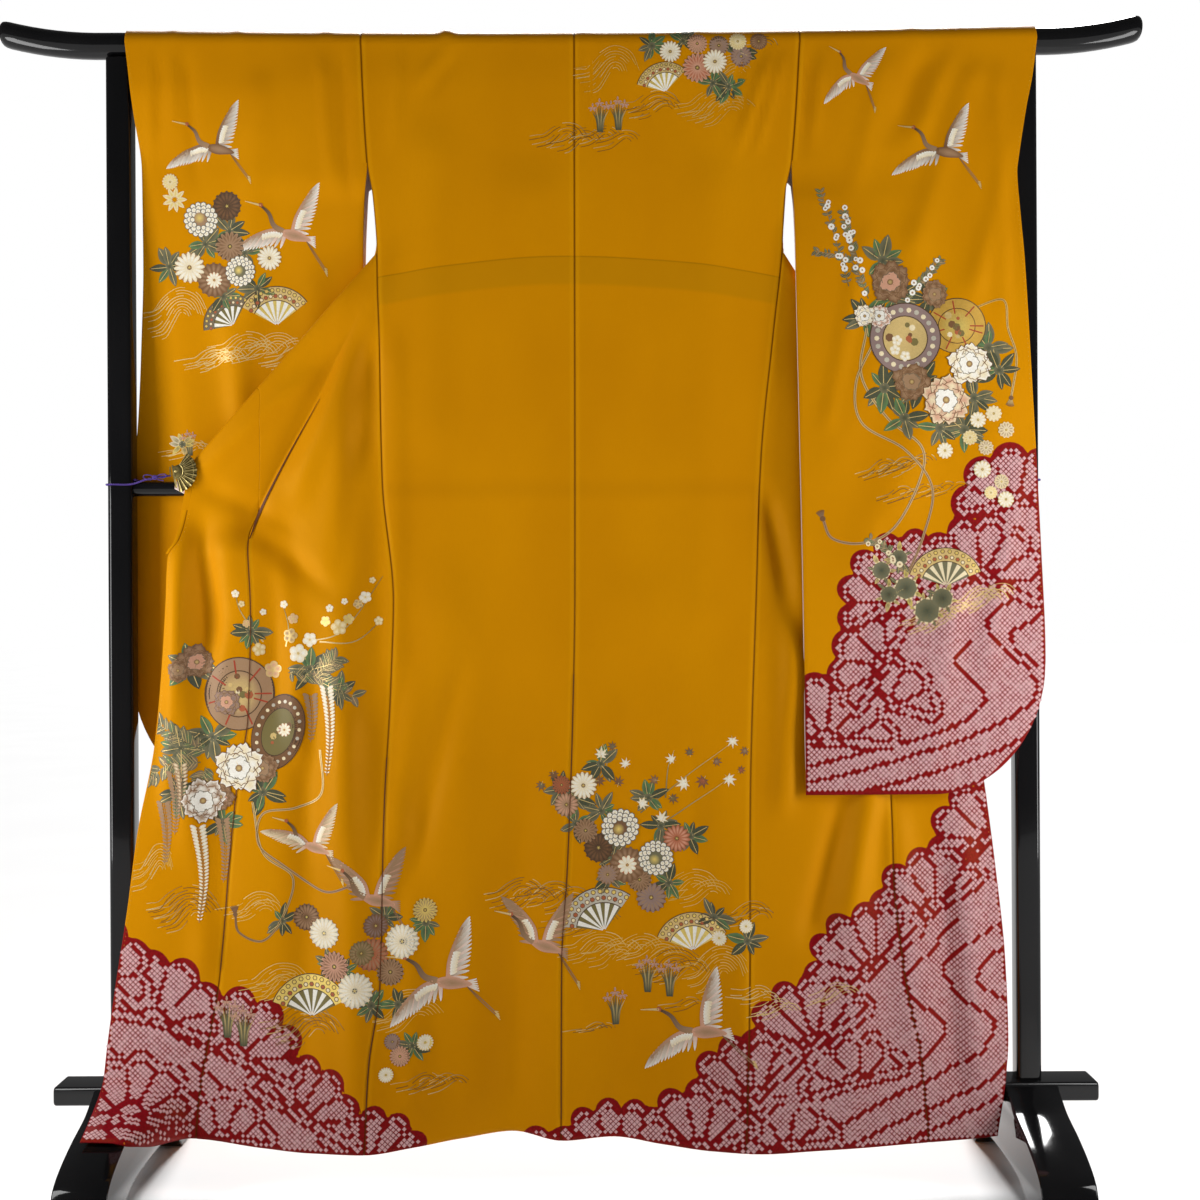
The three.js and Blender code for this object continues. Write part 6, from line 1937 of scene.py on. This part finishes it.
def paintBackLow(b):
    waves(b, [(-41, 434, 160, 26, 7, "wave"), (83, 355, 190, 28, 9, "waveGold"),
              (188, 445, 116, 28, 7, "waveGold"), (24, 394, 110, 22, 8, "wave"),
              (217, 321, 90, 44, 15, "waveGold"), (156, 331, 110, 30, 9, "wave"),
              (39, 241, 46, 10, 3, "wave"), (173, 276, 50, 12, 4, "wave"), (265, 409, 70, 20, 6, "wave")])
    foldingFan(b.move(43, 384, 24, lift=-0.05), 64, 122, "olive", "silver")
    foldingFan(b.move(173, 355, 6), 56, 128, "gold", "paleGold")
    bunches(b, [(2, 540), (39, 559), (127, 536), (170, 521), (51, 463), (138, 453), (2, 577), (57, 492),
                (109, 577), (203, 404), (251, 372), (-19, 591), (39, 628)], 24, 63)
    b.move(0, 0)
    for path in ([(97, 555), (170, 613), (236, 662)], [(119, 533), (185, 577), (226, 606)],
                 [(24, 591), (48, 628), (42, 657)], [(134, 577), (138, 621), (147, 647)]):
        b.line(flow(path, 14), [1.9 - 0.1 * k for k in range(14)], "olive", "paleGold")
    for k, (x, z, radius, colour) in enumerate((
            (40, 641, 11, "white"), (76, 627, 9, "white"), (144, 634, 9, "white"), (162, 599, 12, "white"),
            (189, 603, 11, "rust"), (232, 662, 10, "white"), (226, 606, 11, "white"), (208, 631, 8, "taupe"),
            (99, 568, 11, "white"), (128, 546, 11, "white"), (170, 643, 8, "greyLeaf"),
            (57, 653, 8, "greyLeaf"), (119, 603, 9, "taupe"), (251, 647, 8, "taupe"),
            (-49, 597, 9, "greyLeaf"), (-31, 613, 9, "brown"), (144, 577, 9, "olive"), (36, 603, 9, "brown"),
            (244, 618, 7, "rust"), (65, 600, 9, "brown"))):
        mapleLeaf(b.move(x, z, 37 * k, lift=0.1), radius, colour, "cream" if colour == "white" else "brown")
    mums(b, [(-12, 568, 18, "rose", "taupe", "brown"), (35, 505, 22, "brown", "darkBrown", "darkBrown"),
             (16, 530, 18, "brown", "taupe", "darkBrown"), (150, 518, 20, "rose", "rust", "brown"),
             (112, 431, 22, "taupe", "mauve", "brown"), (95, 457, 18, "brown", "taupe", "darkBrown"),
             (77, 479, 27, "taupe", "brown", "brown"), (-19, 597, 14, "brown", "rust", "darkBrown"),
             (48, 466, 15, "mauve", "taupe", "brown"), (13, 596, 20, "white", "cream", "taupe"),
             (67, 534, 27, "cream", "white", "brown", "double"),
             (119, 489, 25, "cream", "white", "greyLeaf", "double"), (210, 375, 11, "white", "cream", "gold"),
             (249, 393, 10, "white", "cream", "gold")], 13, 0.2, 0.05, 16)
    chrysanthemum(b.move(77, 479, 8, lift=0.75), 14, "white", "cream", "gold", "rust", 10)
    cranes(b, ((-46, 361, 110, 0, 72, "taupe"), (188, 238, 120, 18, 0, "white")))
    irises(b, ((106, 293), (138, 288), (59, 247)), 50)
    for x, z, turn in ((302, 273, 0), (387, 296, 10), (273, 291, -10)):
        waveHill(b.move(x, z, turn), 66, 16, 5, "paleGold")


def paintSleeveRight():
    b = Brush()
    crane(b.move(423, 1638, -14), 78, "taupe", "white", "rose", -40)
    crane(b.move(552, 1526, 4), 100, "taupe", "white", "brown", -4)
    b.move(0, 0)
    clover(b, [(406, 1327), (388, 1397), (368, 1468)], 1)
    clover(b, [(435, 1309), (409, 1365), (359, 1380)], 2)
    clover(b, [(420, 1365), (406, 1412), (400, 1438)], 4)
    clover(b, [(486, 1309), (516, 1338), (541, 1365)], 3)
    waves(b, [(486, 1063, 110, 14, 7, "wave"), (523, 1027, 130, 12, 6, "wave"),
              (545, 843, 96, 22, 7, "paleGold"), (611, 869, 90, 20, 7, "paleGold")], 8)
    b.move(0, 0)
    cordLoop(b, [(441, 1243), (415, 1184), (423, 1126), (486, 1086), (526, 1030), (511, 957), (482, 891)],
             3.6)
    cordLoop(b, [(432, 1265), (423, 1195), (461, 1133), (511, 1089), (506, 1038), (469, 972), (423, 950),
                 (379, 957), (365, 986)], 3.8)
    cordLoop(b, [(589, 1294), (633, 1306), (640, 1265), (652, 1221), (643, 1162)], 3.2, "waveGold",
             "paleGold")
    bunches(b, [(472, 1309), (432, 1280), (523, 1309), (457, 1177), (486, 1133), (538, 1118), (589, 1162),
                (626, 1203), (457, 1365), (611, 1236), (508, 1184), (574, 1115)], 29, 83, 20, 9, 4)
    drum(b.move(564, 1268, 0, lift=0.1), 42, 0.95, "waveGold", "gold", True)
    drum(b.move(488, 1250, 0, lift=0.3), 51, 1.0, "mauve", "paleGold")
    for k, (x, z) in enumerate(((473, 1233), (488, 1224), (476, 1247))):
        plumBlossom(b.move(x, z, 30 * k, lift=0.65), 8, "white", "cream")
    peonies(b, [(467, 1333, 30, "taupe", "brown", "rose"), (450, 1283, 18, "rose", "white", "white"),
                (497, 1186, 28, "taupe", "brown", "taupe"), (532, 1315, 20, "brown", "taupe", "taupe"),
                (582, 1212, 32, "cream", "white", "white"), (547, 1159, 36, "rose", "cream", "white"),
                (429, 1283, 16, "white", "cream", "white")], 40, 0.5, 9)
    mums(b, [(*row, "cream", "paleGold") for row in (
        (617, 1139, 12, "cream"), (635, 1115, 12, "taupe"), (582, 1104, 11, "gold"), (605, 1089, 11, "taupe"),
        (627, 1039, 11, "taupe"), (611, 1023, 10, "gold"), (594, 1130, 12, "white"), (545, 1085, 12, "white"),
        (599, 1057, 13, "white"), (633, 1013, 12, "white"))], 15, 0.2, 0.03, 12)
    foldingFan(b.move(544, 887, 2, lift=-0.1), 56, 140, "greyLeaf", "paleGold", "cream")
    for k, (x, z, radius) in enumerate(((450, 910, 14), (476, 928, 13), (486, 884, 18), (516, 851, 20),
                                        (461, 875, 13), (538, 869, 16))):
        chrysanthemum(b.move(x, z, 20 * k, lift=0.1), radius, "paleGold", "cream", "gold", "taupe", 14)
        leafBunch(b, 6, radius * 0.8, 13, k + 103, ("paleGold", "greyLeaf", "gold"))
    b.move(0, 0, lift=0.1)
    clover(b, [(486, 906), (461, 939), (432, 957)], 7, "cream")
    painted("sleeve_right_print", b, canvases["sleeveRight"])


def paintRear():  # plainer groups on the sleeves' other side
    b = Brush()
    crane(b.move(516, 1500, 0, True), 100)
    bunches(b, [(486, 1265), (545, 1236), (516, 1309)], 20, 123, 20, 10, 14)
    peonies(b, [(486, 1265, 32, "taupe", "brown", "white"), (545, 1236, 34, "rose", "white", "white"),
                (516, 1309, 26, "cream", "white", "white")], 40, 0.2, 30)
    painted("sleeve_right_rear_print", b, canvases["sleeveRightRear"])
    b = Brush()
    crane(b.move(-510, 1537, 0, True), 96)
    bunches(b, [(-532, 1403), (-480, 1366), (-518, 1344)], 18, 133, 20, 10, 12)
    mums(b, [(-532, 1403, 26, "white", "cream", "brown"), (-480, 1366, 24, "taupe", "brown", "brown"),
             (-518, 1344, 20, "white", "cream", "brown")], 12, 0.1, 0.05)
    painted("sleeve_left_rear_print", b, canvases["sleeveLeftRear"])


bodyBrush = Brush()
bodyBrush.move(0, 0, lift=1.0)
# the seams are drawn over the painting as dark lines of painted shade, the shade in their grooves
for seam, top, low in ((leftSide["okumiSeam"], 960, 330), (leftSide["sideSeam"], 640, 120),
                       (centreSeam, 760, 110)):
    z = np.linspace(top, low, 90)  # the seams show through the painting
    bodyBrush.line(np.stack([seam(z), z], axis=1), 1.3, "sewn")
# the okumi seam running into the deep fold, widened into a painted shadow of the fold's dark inside
inFold = flow([(-373.5, 1168), (-417, 1092), (-453, 1024), (-467, 996), (-477, 962)], 50)
bodyBrush.line(inFold, np.concatenate([np.linspace(0.7, 4.2, 35), np.linspace(4.2, 1.6, 15)]), "sewn")
paintBackTop(bodyBrush)
paintPage(bodyBrush)
paintBackLow(bodyBrush)
painted("body_print", bodyBrush, canvases["body"])
paintSleeveLeft()
paintSleeveRight()
paintRear()
print("painting made")


# the stand

def loftPiece(name, rings, node):  # a closed body through rings of points
    verts, faces = joinRings([np.asarray(rings, float)])
    solidPiece(name, verts, faces, lacquer, node)


def ringOf(radius, count, place):
    turn = np.linspace(0, 2 * math.pi, count, endpoint=False)
    return place(radius * np.cos(turn), radius * np.sin(turn))


def roundedRing(width, depth, corner, place):
    a, b, arc = [], [], 8
    for k in range(4):
        cx = (1 if k in (0, 3) else -1) * (width / 2 - corner)
        cy = (1 if k < 2 else -1) * (depth / 2 - corner)
        turn = (k + np.linspace(0, 1, arc + 1)) * math.pi / 2
        a.append(cx + corner * np.cos(turn))
        b.append(cy + corner * np.sin(turn))
    return place(np.concatenate(a), np.concatenate(b))


def railRings():
    half = stand["railLength"] / 2
    stops = [(half, 0.45), (half - 0.8, 0.62), (half - 2.5, 0.77), (half - 5, 0.9), (half - 9, 0.97),
             (half - 15, 1)]
    places = [(-x, s) for x, s in stops] + [(x, 1) for x in np.linspace(-half + 30, half - 30,
                                                                        90)] + stops[::-1]
    return [ringOf(stand["railRadius"] * s, 48, lambda a, b, x=x: points(x, a, railHeight(x) + b)) for x,
            s in places]


joint = 0.3
half = stand["postReach"] - stand["postSize"] / 2 - joint
loftPiece("top_rail_lacquered", railRings(), "top_rail")
bridge = [ringOf(stand["bridgeRadius"], 40, lambda a, b, x=x: points(x, a, stand["bridgeHeight"] + b))
          for x in (-half, half)]
loftPiece("mid_rail_lacquered", bridge, "mid_rail")
middle = stand["plateTop"] - stand["plateThickness"] / 2
ends = [(-stand["plateLength"] / 2 + e, s) for e, s in ((0, 3), (0.6, 1.6), (2, 0.5), (4, 0))]
ends += [(-x, s) for x, s in ends[::-1]]
plate = [roundedRing(stand["plateDepth"] - 2 * s, stand["plateThickness"] - 2 * s, 5, lambda a, b,
                     x=x: points(x, a, middle + b))
         for x, s in ends]
loftPiece("base_plate_lacquered", plate, "base_plate")


def footOutline():
    slot = stand["plateDepth"] / 2 + joint
    half = stand["footHalf"]
    crest = column((-slot, stand["footShoulder"]), (-60, 138), (-87, 126), (-151, 109), (-212, 87),
                   (-238, 71),
                   (-247, 57.5), (-half, 50))
    arch = column((-190, 0), (-172, 13), (-151, 25), (-109, 38), (-55, 43), (0, 44))
    front = [(y, crest(y))
             for y in np.concatenate([np.linspace(-slot, -238, 26), np.linspace(-240, -half, 8)])]
    under = [(y, arch(y)) for y in np.linspace(-190, 0, 20)]
    near = [(-slot, stand["footSeat"]), *front, (-half, 0), *under]
    return np.array(near + [(-y, z) for y, z in near[:-1][::-1]])


def footPiece(name, centre):
    outline = footOutline()
    area = 0.5 * np.sum(outline[:, 0] * np.roll(outline[:, 1], -1) - np.roll(outline[:, 0], -1)
                        * outline[:, 1])
    step = np.roll(outline, -1, axis=0) - np.roll(outline, 1, axis=0)
    inward = np.stack([-step[:, 1], step[:, 0]], axis=1) * np.sign(area)
    inward /= np.linalg.norm(inward, axis=1, keepdims=True)
    slices = [(0, 2.5), (0.3, 1.4), (1.0, 0.6), (2.5, 0)]
    width = stand["footWidth"]
    rings = []
    for along, inset in slices + [(width - a, i) for a, i in slices[::-1]]:
        edge = outline + inward * inset
        edge[:, 1] = np.maximum(edge[:, 1], 0)
        rings.append(points(centre - width / 2 + along, edge[:, 0], edge[:, 1]))
    loftPiece(name + "_lacquered", rings, name)


for name, sign in (("left", -1), ("right", 1)):
    top = railHeight(stand["postReach"] - stand["postSize"] / 2) - stand["railRadius"] - joint
    bottom = stand["plateTop"] + joint
    cuts = [(bottom, 0), (top - 1.2, 0), (top - 0.4, 0.4), (top, 1.2)]
    size, corner = stand["postSize"], stand["postCorner"]
    rings = [roundedRing(size - 2 * s, size - 2 * s, corner, lambda a, b,
                         z=z: points(sign * stand["postReach"] + a, b, z))
             for z, s in cuts]
    loftPiece(f"post_{name}_lacquered", rings, f"post_{name}")
    footPiece(f"foot_{name}", sign * stand["footReach"])
print("stand made")


# floor, light and camera

studio = {
    "sky": 0.10, "backdrop": 1.0, "floor": 0.88,   # light from all round, what is seen behind, and the floor
    "leftPanel": 12, "leftFrom": (-1.36, -0.6, 0.9), "rightPanel": 12, "rightFrom": (1.42, -0.64, 0.9),
    "panelSize": (0.4, 0.9),
    "top": 4.3, "topFrom": (0.05, 1.0, 0.95), "topSoft": 25,
    "lens": 53.2, "camera": (0.039, -2.645, 0.869), "tilt": 0.3,
}


def floorPaint(start):
    grey = studio["floor"]
    return {"Base Color": start.place().noise(2.0).ramp(0.3, 0.7).mix([grey] * 3, [grey * 0.985] * 3)}


floorMesh = bpy.data.meshes.new("floor")
floorMesh.from_pydata([(-30, -30, 0), (30, -30, 0), (30, 30, 0), (-30, 30, 0)], [], [(0, 1, 2, 3)])
floorMesh.materials.append(material("floor", floorPaint, Roughness=0.8))
floor = bpy.data.objects.new("floor", floorMesh)
bpy.context.scene.collection.objects.link(floor)

world = bpy.data.worlds.new("studio")
bpy.context.scene.world = world
world.use_nodes = True
sky = world.node_tree
background = sky.nodes["Background"]
background.inputs[0].default_value = (1, 1, 1, 1)
seen = sky.nodes.new("ShaderNodeLightPath")
level = sky.nodes.new("ShaderNodeMapRange")
level.inputs[3].default_value, level.inputs[4].default_value = studio["sky"], studio["backdrop"]
sky.links.new(seen.outputs["Is Camera Ray"], level.inputs[0])
sky.links.new(level.outputs[0], background.inputs[1])


def lightAt(name, kind, place, strength, **settings):
    light = bpy.data.lights.new(name, kind)
    light.energy = strength
    for key, value in settings.items():
        setattr(light, key, value)
    made = bpy.data.objects.new(name, light)
    made.location = place
    aim = Vector((0, 0, 0.9 if kind == "AREA" else 0))
    made.rotation_euler = (Vector(place) - aim).to_track_quat("Z", "Y").to_euler()
    bpy.context.scene.collection.objects.link(made)


panel = {"shape": "RECTANGLE", "size": studio["panelSize"][0], "size_y": studio["panelSize"][1]}
lightAt("leftPanel", "AREA", studio["leftFrom"], studio["leftPanel"], **panel)
lightAt("rightPanel", "AREA", studio["rightFrom"], studio["rightPanel"], **panel)
lightAt("topLight", "SUN", studio["topFrom"], studio["top"], angle=math.radians(studio["topSoft"]))

camera = bpy.data.cameras.new("camera")
camera.lens = studio["lens"]
camera.sensor_width = 36
cameraObject = bpy.data.objects.new("camera", camera)
cameraObject.location = studio["camera"]
cameraObject.rotation_euler = (math.radians(90), math.radians(studio["tilt"]), 0)
bpy.context.scene.collection.objects.link(cameraObject)
bpy.context.scene.camera = cameraObject
bpy.context.scene.view_settings.view_transform = "Standard"
